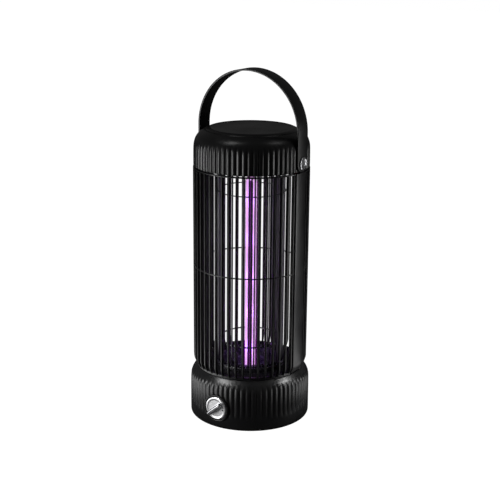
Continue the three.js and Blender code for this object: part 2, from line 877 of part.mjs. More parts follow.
// ---- cap ----
function capOutside() {
  const at = (share) => capBottom + capHeight * share;
  return flutedBody([
    [capBottom, capRadius, fluteDepth],
    [at(0.5), capRadius - 0.1, fluteDepth],
    [at(0.66), capRadius * 0.984, 0],
    [at(0.8), capRadius * 0.94, 0],
    [at(0.9), capRadius * 0.872, 0],
    [at(0.95), capRadius * 0.808, 0],
    [at(0.96), capRadius * 0.76, 0],
  ]);
}

function capInside() {
  const at = (share) => capBottom + capHeight * share;
  return turned([
    [0, capBottom - 1],
    [capCavity, capBottom - 1],
    [capCavity, at(0.5)],
    [capRadius * 0.935, at(0.63)],
    [capRadius * 0.88, at(0.76)],
    [capRadius * 0.77, at(0.865)],
    [0, at(0.865)],
  ], 40);
}

function capShell() {
  const plainWall = toSolid(capOutside()).subtract(toSolid(capInside()));
  const reach = bodyRadius * 2;
  const high = bodyHeight + 5;
  const cutters = [
    post(lidRadius - 5, lidSeat - 8, lidSeat + 1, 32),
    post(lidRadius + gap, lidSeat, high, 40),
    block(flatX, reach, -reach, reach, capBottom - 1, high),
    block(-reach, -flatX, -reach, reach, capBottom - 1, high),
  ];
  const pivotHole = alongX(post(pivotRadius + gap, -reach, reach, 24));
  pivotHole.translate(0, 0, pivotHeight);
  cutters.push(pivotHole);
  return carve(plainWall, cutters);
}

function capLid() {
  const low = lidSeat + gap;
  return turned([
    [0, low],
    [lidRadius, low],
    [lidRadius, bodyHeight - 2],
    [lidRadius - 0.9, bodyHeight - 1.2],
    [lidRadius - 4.2, bodyHeight],
    [lidRadius - 5.6, bodyHeight],
    [lidRadius - 7.2, bodyHeight - 0.5],
    [0, bodyHeight - 0.5],
  ], 40);
}

function capFloor() {
  const holes = [ringPoints(4, 16)];
  for (const side of [-1, 1]) {
    holes.push(ringPoints(screwHole, 12, side * pillarScrewX, 0));
    holes.push(ringPoints(screwRadius, 12, side * leadX, 0));
  }
  return prism(ringPoints(capCavity - gap, 40), capBottom, floorTop, holes);
}

function pillarScrews() {
  const meshes = [];
  for (const [label, side] of [['right', 1], ['left', -1]]) {
    const top = piece(`cap_screw_${label}`, screw(9), steel);
    top.position.set(side * pillarScrewX, 0, floorTop + gap + 0.9);
    top.rotation.x = Math.PI;
    const low = piece(`deck_screw_${label}`, screw(9), steel);
    low.position.set(side * pillarScrewX, 0, deckUnderside - gap - 0.9);
    meshes.push(top, low);
  }
  return meshes;
}

// ---- handle ----
function archOutline(inner, outer, low) {
  const points = [];
  const steps = 28;
  for (let i = 0; i <= steps; i += 1) {
    const angle = (i / steps) * Math.PI;
    points.push(new THREE.Vector2(outer * Math.cos(angle), archBase + outer * Math.sin(angle)));
  }
  points.push(new THREE.Vector2(-outer, low));
  points.push(new THREE.Vector2(-inner, low));
  for (let i = steps; i >= 0; i -= 1) {
    const angle = (i / steps) * Math.PI;
    points.push(new THREE.Vector2(inner * Math.cos(angle), archBase + inner * Math.sin(angle)));
  }
  points.push(new THREE.Vector2(inner, low));
  points.push(new THREE.Vector2(outer, low));
  return points;
}

// Outline of the strap seen end-on: straight sides with a round lower end.
function strapSide() {
  const high = archBase + strapOuter + 2;
  const points = [
    new THREE.Vector2(strapEndRadius, high),
    new THREE.Vector2(-strapEndRadius, high),
  ];
  for (let i = 0; i <= 16; i += 1) {
    const angle = Math.PI + (i / 16) * Math.PI;
    const y = strapEndRadius * Math.cos(angle);
    points.push(new THREE.Vector2(y, pivotHeight + strapEndRadius * Math.sin(angle)));
  }
  return points;
}

function handleStrap() {
  const arch = prism(archOutline(strapInner, strapOuter, pivotHeight - strapWidth), -strapWidth, strapWidth);
  arch.rotateX(Math.PI / 2);
  const side = prism(strapSide(), -bodyRadius * 2, bodyRadius * 2);
  side.rotateX(Math.PI / 2);
  side.rotateZ(Math.PI / 2);
  const pivotHole = alongX(post(pivotRadius + runningGap, -bodyRadius * 2, bodyRadius * 2, 24));
  pivotHole.translate(0, 0, pivotHeight);
  return carve(toSolid(arch).intersect(toSolid(side)), [pivotHole]);
}

// Rivet along +X from the middle of the cap; the head has a raised rim round a sunk disc.
function pivotRivet() {
  const seat = strapOuter + gap;
  return alongX(turned([
    [0, capCavity - 4.2],
    [pivotRadius, capCavity - 4.2],
    [pivotRadius, seat],
    [rivetHeadRadius, seat],
    [rivetHeadRadius, seat + 0.7],
    [rivetHeadRadius - 0.7, seat + 1.3],
    [rivetHeadRadius - 1.9, seat + 1.3],
    [rivetHeadRadius - 2.4, seat + 0.7],
    [0, seat + 0.7],
  ], 24));
}

function pivotNut() {
  const [low, high] = [capCavity - 3.6, capCavity - 0.6];
  const nut = prism(ringPoints(5, 6), low, high, [ringPoints(pivotRadius + gap, 24)]);
  return alongX(nut);
}

function pivotFittings() {
  const meshes = [];
  for (const [label, turn] of [['right', 0], ['left', Math.PI]]) {
    const rivet = piece(`pivot_rivet_${label}`, pivotRivet(), chrome);
    const nut = piece(`pivot_nut_${label}`, pivotNut(), steel);
    for (const mesh of [rivet, nut]) {
      mesh.position.z = pivotHeight;
      mesh.rotation.z = turn;
      meshes.push(mesh);
    }
  }
  return meshes;
}

// ---- whole object ----
function group(name, meshes) {
  const holder = new THREE.Group();
  holder.name = name;
  holder.add(...meshes);
  return holder;
}

function baseGroup() {
  const can = piece('filter_capacitor', capacitor(), darkFerrite);
  can.position.set(15, 10, boardTop + gap);
  return group('base', [
    piece('rubber_pad', rubberPad(), blackRubber),
    piece('bottom_cover', bottomCover(), blackShell),
    ...coverScrews(),
    piece('base_shell', baseShell(), blackShell),
    piece('battery_cradle', batteryCradle(), innerPlastic),
    ...batteryCells(),
    piece('circuit_board', circuitBoard(), boardGreen),
    piece('hv_transformer', transformer(), darkFerrite),
    can,
    piece('charge_board', chargeBoard(), boardGreen),
    piece('usb_socket', usbSocket(), steel),
    piece('rotary_switch', rotarySwitch(), innerPlastic),
    piece('switch_shaft', switchShaft(), steel),
    piece('knob_bezel', knobBezel(), blackShell),
    piece('switch_knob', switchKnob(), chrome),
    piece('knob_mark', knobMark(), blackShell),
    piece('port_flap', portFlap(), blackRubber),
    piece('flap_pin', flapPin(), steel),
  ]);
}

function cageGroup() {
  const front = piece('cage_front', guardHalf(), blackGuard);
  front.rotation.z = Math.PI;
  const leftPillar = piece('pillar_left', pillar(), blackGuard);
  leftPillar.rotation.z = Math.PI;
  return group('cage', [
    front,
    piece('cage_rear', guardHalf(), blackGuard),
    leftPillar,
    piece('pillar_right', pillar(), blackGuard),
    piece('top_lead', topLead(), leadRed),
    piece('insect_tray', insectTray(), blackGuard),
    piece('lower_grid_seat', lowerGridSeat(), insulator),
    piece('upper_grid_seat', upperGridSeat(), insulator),
    piece('grid_neutral', gridNeutral(), steel),
    piece('grid_live', gridLive(), steel),
    piece('lamp_tube', lampTube(), violetGlass),
    piece('lamp_socket', lampSocket(), insulator),
    piece('lamp_stop', lampStop(), blackRubber),
  ]);
}

function capGroup() {
  return group('cap', [
    piece('cap_floor', capFloor(), innerPlastic),
    ...pillarScrews(),
    piece('cap_shell', capShell(), blackShell),
    piece('cap_lid', capLid(), blackShell),
    piece('handle_strap', handleStrap(), blackStrap),
    ...pivotFittings(),
  ]);
}

const zapper = group('bug_zapper', [baseGroup(), cageGroup(), capGroup()]);
export default zapper;
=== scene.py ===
import math

import bmesh
import bpy
from mathutils import Matrix, Vector


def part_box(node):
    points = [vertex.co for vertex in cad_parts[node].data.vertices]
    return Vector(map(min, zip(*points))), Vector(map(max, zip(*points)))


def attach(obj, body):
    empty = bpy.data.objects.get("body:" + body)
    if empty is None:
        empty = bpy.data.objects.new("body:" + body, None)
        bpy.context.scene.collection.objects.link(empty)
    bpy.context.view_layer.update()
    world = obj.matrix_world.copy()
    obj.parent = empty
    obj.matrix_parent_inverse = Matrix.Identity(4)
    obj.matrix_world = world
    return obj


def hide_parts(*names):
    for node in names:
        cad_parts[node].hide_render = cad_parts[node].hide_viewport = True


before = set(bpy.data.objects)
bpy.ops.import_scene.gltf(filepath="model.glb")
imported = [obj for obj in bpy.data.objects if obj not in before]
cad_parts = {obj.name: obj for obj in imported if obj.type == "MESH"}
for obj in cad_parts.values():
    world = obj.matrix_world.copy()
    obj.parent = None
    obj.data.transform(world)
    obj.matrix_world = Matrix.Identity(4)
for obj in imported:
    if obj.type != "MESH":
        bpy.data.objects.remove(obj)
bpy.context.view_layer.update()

mm = 0.001

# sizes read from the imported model, in millimetres
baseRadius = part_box("base_shell")[1].x / mm
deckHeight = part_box("base_shell")[1].z / mm
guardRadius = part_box("pillar_right")[1].x / mm
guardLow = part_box("pillar_right")[0].z / mm
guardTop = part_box("pillar_right")[1].z / mm
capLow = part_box("cap_shell")[0].z / mm
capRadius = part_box("cap_shell")[1].y / mm
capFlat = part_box("cap_shell")[1].x / mm
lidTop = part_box("cap_lid")[1].z / mm
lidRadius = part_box("cap_lid")[1].x / mm
pivotHeight = (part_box("pivot_rivet_right")[0].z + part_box("pivot_rivet_right")[1].z) / 2 / mm
knobHeight = (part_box("switch_knob")[0].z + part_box("switch_knob")[1].z) / 2 / mm


# working helpers
def deselectAll():
    bpy.ops.object.select_all(action="DESELECT")


def makeActive(piece):
    deselectAll()
    piece.select_set(True)
    bpy.context.view_layer.objects.active = piece


def startEdit(piece):
    makeActive(piece)
    bpy.ops.object.mode_set(mode="EDIT")
    bpy.ops.mesh.select_mode(type="VERT")


def endEdit():
    bpy.ops.object.mode_set(mode="OBJECT")


def settlePlace(piece):
    makeActive(piece)
    bpy.ops.object.transform_apply(location=True, rotation=True, scale=True)


def pickVerts(piece, wanted):
    bpy.ops.mesh.select_all(action="DESELECT")
    cage = bmesh.from_edit_mesh(piece.data)
    for vert in cage.verts:
        vert.select = bool(wanted(vert.co / mm))
    cage.select_flush(True)
    bmesh.update_edit_mesh(piece.data)


def addModifier(piece, kind, **values):
    makeActive(piece)
    modifier = piece.modifiers.new(kind.title(), kind)
    for key, value in values.items():
        setattr(modifier, key, value)
    bpy.ops.object.modifier_apply(modifier=modifier.name)


def softenEdges(piece, width, segments=2, angle=35):
    addModifier(
        piece, "BEVEL", width=width * mm, segments=segments, limit_method="ANGLE",
        angle_limit=math.radians(angle), harden_normals=False,
    )


def shadeByAngle(piece, angle=35):
    makeActive(piece)
    bpy.ops.object.shade_smooth_by_angle(angle=math.radians(angle))


def nudge(x, y, z):
    return {"value": (x * mm, y * mm, z * mm)}


def faceOutwards(piece):
    startEdit(piece)
    bpy.ops.mesh.select_all(action="SELECT")
    bpy.ops.mesh.remove_doubles(threshold=0.00001)
    bpy.ops.mesh.normals_make_consistent(inside=False)
    endEdit()


# a turned body: one circle drawn up row by row and resized; a radius of 0 closes a pole
def turnedBody(name, rows, sides):
    deselectAll()
    rings = [row for row in rows if row[0] > 0]
    radius, height = rings[0]
    bpy.ops.mesh.primitive_circle_add(
        vertices=sides, radius=radius * mm, location=(0, 0, height * mm)
    )
    piece = bpy.context.object
    piece.name = name
    settlePlace(piece)
    startEdit(piece)
    bpy.ops.mesh.select_all(action="SELECT")
    if rows[0][0] == 0:
        lift = rows[0][1] - height
        bpy.ops.mesh.extrude_region_move(TRANSFORM_OT_translate=nudge(0, 0, lift))
        bpy.ops.mesh.merge(type="CENTER")
        pickVerts(piece, lambda co: math.hypot(co.x, co.y) > 0.001)
    for nextRadius, nextHeight in rings[1:]:
        bpy.ops.mesh.extrude_region_move(
            TRANSFORM_OT_translate=nudge(0, 0, nextHeight - height)
        )
        share = nextRadius / radius
        bpy.ops.transform.resize(
            value=(share, share, 1), center_override=(0, 0, nextHeight * mm)
        )
        radius, height = nextRadius, nextHeight
    if rows[-1][0] == 0:
        lift = rows[-1][1] - height
        bpy.ops.mesh.extrude_region_move(TRANSFORM_OT_translate=nudge(0, 0, lift))
        bpy.ops.mesh.merge(type="CENTER")
    endEdit()
    faceOutwards(piece)
    return piece


# a ring that never reaches the axis: its rows end where they began
def turnedRing(name, rows, sides):
    return turnedBody(name, [*rows, rows[0]], sides)


# one groove for the base and the cap: its depth, its section and the radius it stays outside
fluteValues = {
    "count": 68, "depth": 1.25, "section": [0, 0.07, 0.42, 1, 0.42, 0.07], "outside": 50,
}
fluteSides = fluteValues["count"] * len(fluteValues["section"])


# grooves pressed into the wall of a turned body, rows given as {height: share of the depth}
def pressFlutes(piece, rows):
    pitch = 2 * math.pi / fluteValues["count"]
    steps = len(fluteValues["section"])
    startEdit(piece)
    for height, strength in rows.items():
        for step, share in enumerate(fluteValues["section"]):
            if share * strength == 0:
                continue

            def onGroove(co, step=step, height=height):
                if abs(co.z - height) > 0.02 or math.hypot(co.x, co.y) < fluteValues["outside"]:
                    return False
                turn = math.atan2(co.y, co.x) % pitch / pitch * steps
                return round(turn) % steps == step

            pickVerts(piece, onGroove)
            scale = 1 - fluteValues["depth"] * strength * share / baseRadius
            bpy.ops.transform.resize(
                value=(scale, scale, 1), center_override=(0, 0, height * mm)
            )
    endEdit()


def copyTurned(piece, name, angle):
    twin = piece.copy()
    twin.data = piece.data.copy()
    twin.name = name
    bpy.context.collection.objects.link(twin)
    twin.rotation_euler = (0, 0, angle)
    settlePlace(twin)
    return twin


def joinPieces(name, pieces):
    deselectAll()
    for piece in pieces:
        piece.select_set(True)
    bpy.context.view_layer.objects.active = pieces[0]
    bpy.ops.object.join()
    joined = bpy.context.object
    joined.name = name
    return joined


def turnTo(piece, rotation, location=(0, 0, 0)):
    piece.rotation_euler = rotation
    piece.location = location
    settlePlace(piece)


def middleOf(node):
    low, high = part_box(node)
    return (low + high) / 2


def finishPiece(piece, finish, slotName, body, *nodes):
    piece.data.materials.clear()
    piece.data.materials.append(finish)
    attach(piece, body)
    if nodes:
        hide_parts(*nodes)


# shared shader nodes and groups
def newNode(tree, kind, values=None):
    node = tree.nodes.new(f"ShaderNode{kind}")
    for key, value in (values or {}).items():
        node.inputs[key].default_value = value
    return node


def mixColours(tree, mask, low, high):
    mix = newNode(tree, "Mix")
    mix.data_type = "RGBA"
    mix.inputs[6].default_value = (*low, 1)
    mix.inputs[7].default_value = (*high, 1)
    tree.links.new(mask, mix.inputs[0])
    return mix


def remap(tree, value, low, high, fromLow=0.0, fromHigh=1.0):
    node = newNode(tree, "MapRange", {
        "From Min": fromLow, "From Max": fromHigh, "To Min": low, "To Max": high,
    })
    tree.links.new(value, node.inputs["Value"])
    return node.outputs["Result"]


def combine(tree, operation, first, second):
    node = newNode(tree, "Math")
    node.operation = operation
    tree.links.new(first, node.inputs[0])
    tree.links.new(second, node.inputs[1])
    return node.outputs["Value"]


def newGroup(name, inputs, outputs):
    group = bpy.data.node_groups.new(name, "ShaderNodeTree")
    for label, kind, value in inputs:
        socket = group.interface.new_socket(label, in_out="INPUT", socket_type=kind)
        if value is not None:
            socket.default_value = value
    for label in outputs:
        group.interface.new_socket(label, in_out="OUTPUT", socket_type="NodeSocketFloat")
    start = group.nodes.new("NodeGroupInput")
    end = group.nodes.new("NodeGroupOutput")
    return group, start, end


# fine moulded grain: pores as a height, slow patches as a mask
def makeGrainGroup():
    group, start, end = newGroup(
        "mouldedGrain",
        [("Vector", "NodeSocketVector", None), ("Grain Scale", "NodeSocketFloat", 2600.0),
         ("Patch Scale", "NodeSocketFloat", 45.0)],
        ["Height", "Patches"],
    )
    pores = newNode(group, "TexNoise", {"Detail": 4.0, "Roughness": 0.6})
    patches = newNode(group, "TexNoise", {"Detail": 3.0})
    link = group.links.new
    for noise, size, result in (
        (pores, "Grain Scale", "Height"), (patches, "Patch Scale", "Patches")
    ):
        link(start.outputs["Vector"], noise.inputs["Vector"])
        link(start.outputs[size], noise.inputs["Scale"])
        link(noise.outputs["Fac"], end.inputs[result])
    return group


# long faint scratches and rubbed spots
def makeScuffGroup():
    group, start, end = newGroup(
        "handlingScuffs",
        [("Vector", "NodeSocketVector", None), ("Scale", "NodeSocketFloat", 260.0)], ["Mask"],
    )
    stretch = newNode(group, "Mapping", {"Scale": (1.0, 1.0, 0.07), "Rotation": (0.35, 0.2, 0.0)})
    streaks = newNode(group, "TexNoise", {"Detail": 5.0, "Roughness": 0.65})
    link = group.links.new
    link(start.outputs["Vector"], stretch.inputs["Vector"])
    link(stretch.outputs["Vector"], streaks.inputs["Vector"])
    link(start.outputs["Scale"], streaks.inputs["Scale"])
    link(remap(group, streaks.outputs["Fac"], 0.0, 1.0, 0.62, 0.74), end.inputs["Mask"])
    return group


# light dust that settles on what faces up
def makeDustGroup():
    group, start, end = newGroup(
        "settledDust",
        [("Vector", "NodeSocketVector", None), ("Scale", "NodeSocketFloat", 120.0),
         ("Amount", "NodeSocketFloat", 0.3)],
        ["Mask"],
    )
    facing = newNode(group, "NewGeometry")
    parts = newNode(group, "SeparateXYZ")
    specks = newNode(group, "TexNoise", {"Detail": 6.0})
    link = group.links.new
    link(facing.outputs["Normal"], parts.inputs["Vector"])
    link(start.outputs["Vector"], specks.inputs["Vector"])
    link(start.outputs["Scale"], specks.inputs["Scale"])
    upward = remap(group, parts.outputs["Z"], 0.0, 1.0, 0.55, 1.0)
    broken = remap(group, specks.outputs["Fac"], 0.0, 1.0, 0.4, 0.8)
    settled = combine(group, "MULTIPLY", upward, broken)
    link(combine(group, "MULTIPLY", settled, start.outputs["Amount"]), end.inputs["Mask"])
    return group


grainGroup = makeGrainGroup()
scuffGroup = makeScuffGroup()
dustGroup = makeDustGroup()


def placeGroup(tree, group, place):
    node = newNode(tree, "Group")
    node.node_tree = group
    tree.links.new(place, node.inputs["Vector"])
    return node


def newFinish(name):
    finish = bpy.data.materials.new(name)
    finish.use_nodes = True
    tree = finish.node_tree
    shader = next(node for node in tree.nodes if node.type == "BSDF_PRINCIPLED")
    place = newNode(tree, "TexCoord")
    return finish, tree, shader, place.outputs["Object"]


def addBump(tree, shader, height, strength, depth):
    bump = newNode(tree, "Bump", {"Strength": strength, "Distance": depth * mm})
    tree.links.new(height, bump.inputs["Height"])
    tree.links.new(bump.outputs["Normal"], shader.inputs["Normal"])


# what moulded pieces share; each finish below gives only what differs
mouldedValues = {
    "scuff": 0.1, "dust": 0.05, "patchScale": 50.0, "grainStrength": 0.3, "grainDepth": 0.05,
    "shine": 0.5, "dustColour": (0.16, 0.155, 0.15),
}


# moulded plastic and rubber: grain in the bump, patches and scuffs in the gloss, a trace of dust
def mouldedFinish(name, changes):
    values = {**mouldedValues, **changes}
    finish, tree, shader, place = newFinish(name)
    link = tree.links.new
    grain = placeGroup(tree, grainGroup, place)
    grain.inputs["Grain Scale"].default_value = values["grainScale"]
    grain.inputs["Patch Scale"].default_value = values["patchScale"]
    scuffs = placeGroup(tree, scuffGroup, place)
    dust = placeGroup(tree, dustGroup, place)
    dust.inputs["Amount"].default_value = values["dust"]
    patches = grain.outputs["Patches"]
    tone = mixColours(tree, patches, values["dark"], values["light"])
    dusty = mixColours(tree, dust.outputs["Mask"], values["dark"], values["dustColour"])
    link(tone.outputs[2], dusty.inputs[6])
    link(dusty.outputs[2], shader.inputs["Base Color"])
    slow = remap(tree, patches, *values["gloss"], 0.3, 0.7)
    rubbed = remap(tree, scuffs.outputs["Mask"], 0.0, values["scuff"])
    link(combine(tree, "ADD", slow, rubbed), shader.inputs["Roughness"])
    addBump(tree, shader, grain.outputs["Height"], values["grainStrength"], values["grainDepth"])
    shader.inputs["Specular IOR Level"].default_value = values["shine"]
    return finish


# metal: fine drawn or polished lines along one direction
def metalFinish(name, values):
    finish, tree, shader, place = newFinish(name)
    link = tree.links.new
    lay = newNode(tree, "Mapping", {"Scale": values["lay"]})
    link(place, lay.inputs["Vector"])
    lines = newNode(tree, "TexNoise", {"Scale": values["lineScale"], "Detail": 4.0})
    link(lay.outputs["Vector"], lines.inputs["Vector"])
    grain = placeGroup(tree, grainGroup, place)
    tone = mixColours(tree, grain.outputs["Patches"], values["dark"], values["light"])
    link(tone.outputs[2], shader.inputs["Base Color"])
    link(remap(tree, lines.outputs["Fac"], *values["gloss"], 0.3, 0.7), shader.inputs["Roughness"])
    addBump(tree, shader, lines.outputs["Fac"], values["lineStrength"], 0.02)
    shader.inputs["Metallic"].default_value = 1.0
    return finish


# a body that gives light: cloudy glow, smooth skin
def glowFinish(name, values):
    finish, tree, shader, place = newFinish(name)
    link = tree.links.new
    cloud = newNode(tree, "TexNoise", {"Scale": 60.0, "Detail": 2.0})
    link(place, cloud.inputs["Vector"])
    glow = mixColours(tree, cloud.outputs["Fac"], values["glowDark"], values["glowLight"])
    link(glow.outputs[2], shader.inputs["Emission Color"])
    link(remap(tree, cloud.outputs["Fac"], 0.04, 0.12), shader.inputs["Roughness"])
    shader.inputs["Base Color"].default_value = (*values["body"], 1)
    shader.inputs["Emission Strength"].default_value = values["strength"]
    shader.inputs["Alpha"].default_value = values["alpha"]
    return finish


shellFinish = mouldedFinish("satinBlackShell", {
    "dark": (0.0045, 0.0045, 0.005), "light": (0.007, 0.007, 0.0075), "gloss": (0.27, 0.36),
    "scuff": 0.12, "grainScale": 2600.0, "patchScale": 40.0, "grainStrength": 0.25,
    "grainDepth": 0.03,
})
guardFinish = mouldedFinish("satinBlackGuard", {
    "dark": (0.0045, 0.0045, 0.005), "light": (0.007, 0.007, 0.0075), "gloss": (0.3, 0.4),
    "scuff": 0.12, "dust": 0.04, "grainScale": 2400.0, "patchScale": 45.0,
    "grainStrength": 0.25, "grainDepth": 0.03,
})
trayFinish = mouldedFinish("mattBlackTray", {
    "dark": (0.004, 0.004, 0.0045), "light": (0.006, 0.006, 0.0065), "gloss": (0.6, 0.75),
    "dust": 0.06, "grainScale": 1800.0, "grainStrength": 0.4, "shine": 0.2,
})
strapFinish = mouldedFinish("satinBlackStrap", {
    "dark": (0.004, 0.004, 0.0045), "light": (0.006, 0.006, 0.0065), "gloss": (0.3, 0.4),
    "grainScale": 1700.0, "patchScale": 55.0, "grainDepth": 0.04,
})
rubberFinish = mouldedFinish("mattBlackRubber", {
    "dark": (0.008, 0.008, 0.008), "light": (0.015, 0.015, 0.014), "gloss": (0.7, 0.85),
    "dust": 0.1, "grainScale": 1500.0, "patchScale": 60.0, "grainStrength": 0.5,
    "grainDepth": 0.08, "shine": 0.3,
})
innerFinish = mouldedFinish("mattInnerPlastic", {
    "dark": (0.02, 0.02, 0.022), "light": (0.03, 0.03, 0.032), "gloss": (0.45, 0.6),
    "scuff": 0.08, "grainScale": 1900.0, "grainStrength": 0.35, "shine": 0.4,
})
insulatorFinish = mouldedFinish("darkInsulator", {
    "dark": (0.012, 0.011, 0.014), "light": (0.022, 0.02, 0.026), "gloss": (0.22, 0.32),
    "scuff": 0.08, "dust": 0.03, "grainScale": 2200.0, "patchScale": 60.0,
    "grainStrength": 0.2, "grainDepth": 0.03,
})
boardFinish = mouldedFinish("boardLacquer", {
    "dark": (0.01, 0.07, 0.03), "light": (0.02, 0.12, 0.05), "gloss": (0.3, 0.42),
    "scuff": 0.05, "grainScale": 900.0, "patchScale": 140.0,
})
cellFinish = mouldedFinish("cellWrap", {
    "dark": (0.02, 0.08, 0.26), "light": (0.03, 0.11, 0.34), "gloss": (0.22, 0.34),
    "dust": 0.02, "grainScale": 700.0, "patchScale": 70.0, "grainStrength": 0.15,
    "grainDepth": 0.04,
})
ferriteFinish = mouldedFinish("sinteredFerrite", {
    "dark": (0.02, 0.018, 0.016), "light": (0.045, 0.042, 0.04), "gloss": (0.6, 0.75),
    "scuff": 0.05, "grainScale": 1800.0, "patchScale": 150.0, "grainStrength": 0.6,
    "grainDepth": 0.08, "shine": 0.4,
})
leadFinish = mouldedFinish("leadSleeve", {
    "dark": (0.28, 0.012, 0.01), "light": (0.4, 0.02, 0.016), "gloss": (0.35, 0.45),
    "scuff": 0.05, "dust": 0.02, "grainScale": 1500.0, "patchScale": 90.0,
    "grainStrength": 0.2, "grainDepth": 0.03,
})
chromeFinish = metalFinish("polishedChrome", {
    "dark": (0.62, 0.62, 0.64), "light": (0.78, 0.78, 0.8), "gloss": (0.18, 0.28),
    "lay": (1.0, 1.0, 1.0), "lineScale": 900.0, "lineStrength": 0.12,
})
brushedFinish = metalFinish("brushedDisc", {
    "dark": (0.8, 0.8, 0.81), "light": (0.9, 0.9, 0.91), "gloss": (0.36, 0.46),
    "lay": (0.15, 1.0, 1.0), "lineScale": 1600.0, "lineStrength": 0.3,
})
wireFinish = metalFinish("drawnSteelWire", {
    "dark": (0.1, 0.1, 0.11), "light": (0.17, 0.17, 0.18), "gloss": (0.3, 0.42),
    "lay": (1.0, 1.0, 0.04), "lineScale": 2200.0, "lineStrength": 0.3,
})
screwFinish = metalFinish("turnedScrewSteel", {
    "dark": (0.4, 0.4, 0.42), "light": (0.55, 0.55, 0.57), "gloss": (0.25, 0.4),
    "lay": (1.0, 1.0, 0.3), "lineScale": 1400.0, "lineStrength": 0.25,
})
coreFinish = glowFinish("glowingGas", {
    "body": (0.9, 0.7, 1.0), "glowDark": (0.84, 0.42, 0.86), "glowLight": (0.95, 0.56, 0.98),
    "strength": 1.2, "alpha": 1.0,
})
tubeFinish = glowFinish("violetTube", {
    "body": (0.1, 0.01, 0.13), "glowDark": (0.14, 0.005, 0.16), "glowLight": (0.24, 0.012, 0.26),
    "strength": 0.4, "alpha": 0.42,
})
print("finishes made")


# base
baseValues = {
    "wall": 2.9, "deck": 2.5, "floor": 0.85, "wellInset": 2.0, "flutesLow": 12.5,
    "rise": [(1.5, 0.15), (3.5, 0.45), (6.0, 0.8), (10.0, 1), (20.0, 1)],
    "shoulder": [(0.15, 40.5), (0.45, 43.4), (1.0, 45.3), (1.8, 47.0),
                 (2.9, 48.8), (4.2, 50.6), (5.5, 52.1), (6.4, 53.2)],
    "fade": (1, 0.95, 0.72, 0.36, 0.08, 0, 0, 0),
}


def makeBase(values):
    inner = baseRadius - values["wall"]
    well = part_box("lamp_socket")[1].x / mm - values["wellInset"]
    floor = values["floor"]
    under = deckHeight - values["deck"]
    low = values["flutesLow"]
    rows = [(well, under), (inner - 6, under), (inner, deckHeight - 11), (inner, 5.0)]
    rows += [(inner, 1.3), (inner + 0.5, floor), (baseRadius - 0.9, floor)]
    rows += [(baseRadius - 0.2, 1.4), (baseRadius, 2.4), (baseRadius, 7.0)]
    rows += [(baseRadius, low - 2.0), (baseRadius, low)]
    rows += [(baseRadius, low + rise) for rise, share in values["rise"]]
    rows += [(baseRadius - inset, height) for inset, height in values["shoulder"]]
    rows += [(baseRadius - 7.0, deckHeight - 0.12), (baseRadius - 7.6, deckHeight)]
    rows += [(baseRadius - 10, deckHeight), (30, deckHeight), (well, deckHeight)]
    base = turnedRing("baseBody", rows, fluteSides)
    deep = {low + rise: share for rise, share in values["rise"]}
    for (inset, height), share in zip(values["shoulder"], values["fade"]):
        deep[height] = share
    pressFlutes(base, deep)
    addModifier(base, "SUBSURF", levels=1, render_levels=1)
    return base


def cutRound(piece, centre, radius, low, high, axis):
    deselectAll()
    bpy.ops.mesh.primitive_cylinder_add(vertices=96, radius=radius * mm, depth=(high - low) * mm)
    cutter = bpy.context.object
    middle = (low + high) / 2
    if axis == "Y":
        turnTo(cutter, (math.pi / 2, 0, 0), (centre[0] * mm, middle * mm, centre[2] * mm))
    else:
        turnTo(cutter, (0, 0, 0), (centre[0] * mm, centre[1] * mm, middle * mm))
    cutAway(piece, cutter)


# cuts the edited mesh off square at both sides and closes the cuts
def trimSides(reach):
    for side in (-1, 1):
        bpy.ops.mesh.select_all(action="SELECT")
        bpy.ops.mesh.bisect(
            plane_co=(side * reach * mm, 0, 0), plane_no=(side, 0, 0),
            use_fill=True, clear_outer=True,
        )


def cutAway(piece, cutter):
    addModifier(piece, "BOOLEAN", operation="DIFFERENCE", object=cutter, solver="EXACT")
    bpy.data.objects.remove(cutter, do_unlink=True)


def boxPiece(name, low, high, bevel=0.0, segments=2):
    deselectAll()
    bpy.ops.mesh.primitive_cube_add(size=1)
    piece = bpy.context.object
    piece.name = name
    piece.scale = [(b - a) * mm for a, b in zip(low, high)]
    piece.location = [(a + b) / 2 * mm for a, b in zip(low, high)]
    settlePlace(piece)
    if bevel:
        softenEdges(piece, bevel, segments)
    return piece


baseBody = makeBase(baseValues)
portValues = {
    "halfX": 10.6, "halfZ": 8.2, "frame": 2.6, "floor": 3.8, "inset": 5.5, "proud": 0.2,
    "slotHalfX": 5, "slotHalfZ": 2.1, "slotDepth": 12,
}


def addPort(base, values):
    reach = values["halfX"] + values["frame"]
    tall = values["halfZ"] + values["frame"]
    inner, outer = baseRadius - values["inset"], baseRadius + values["proud"]
    low, high = knobHeight - tall, knobHeight + tall
    patch = turnedRing("portPatch", [(inner, low), (outer, low), (outer, high), (inner, high)], 240)
    startEdit(patch)
    pickVerts(patch, lambda co: co.y < 0)
    bpy.ops.mesh.delete(type="VERT")
    trimSides(reach)
    endEdit()
    softenEdges(patch, 0.5, 2)
    faceOutwards(patch)
    addModifier(base, "BOOLEAN", operation="UNION", object=patch, solver="EXACT")
    bpy.data.objects.remove(patch, do_unlink=True)
    well = boxPiece(
        "portWell", (-values["halfX"], baseRadius - values["floor"], knobHeight - values["halfZ"]),
        (values["halfX"], baseRadius + 5, knobHeight + values["halfZ"]), 0.6,
    )
    cutAway(base, well)
    wide, tall = values["slotHalfX"], values["slotHalfZ"]
    slot = boxPiece(
        "portSlot", (-wide, baseRadius - values["slotDepth"], knobHeight - tall),
        (wide, baseRadius, knobHeight + tall), 1.2,
    )
    cutAway(base, slot)


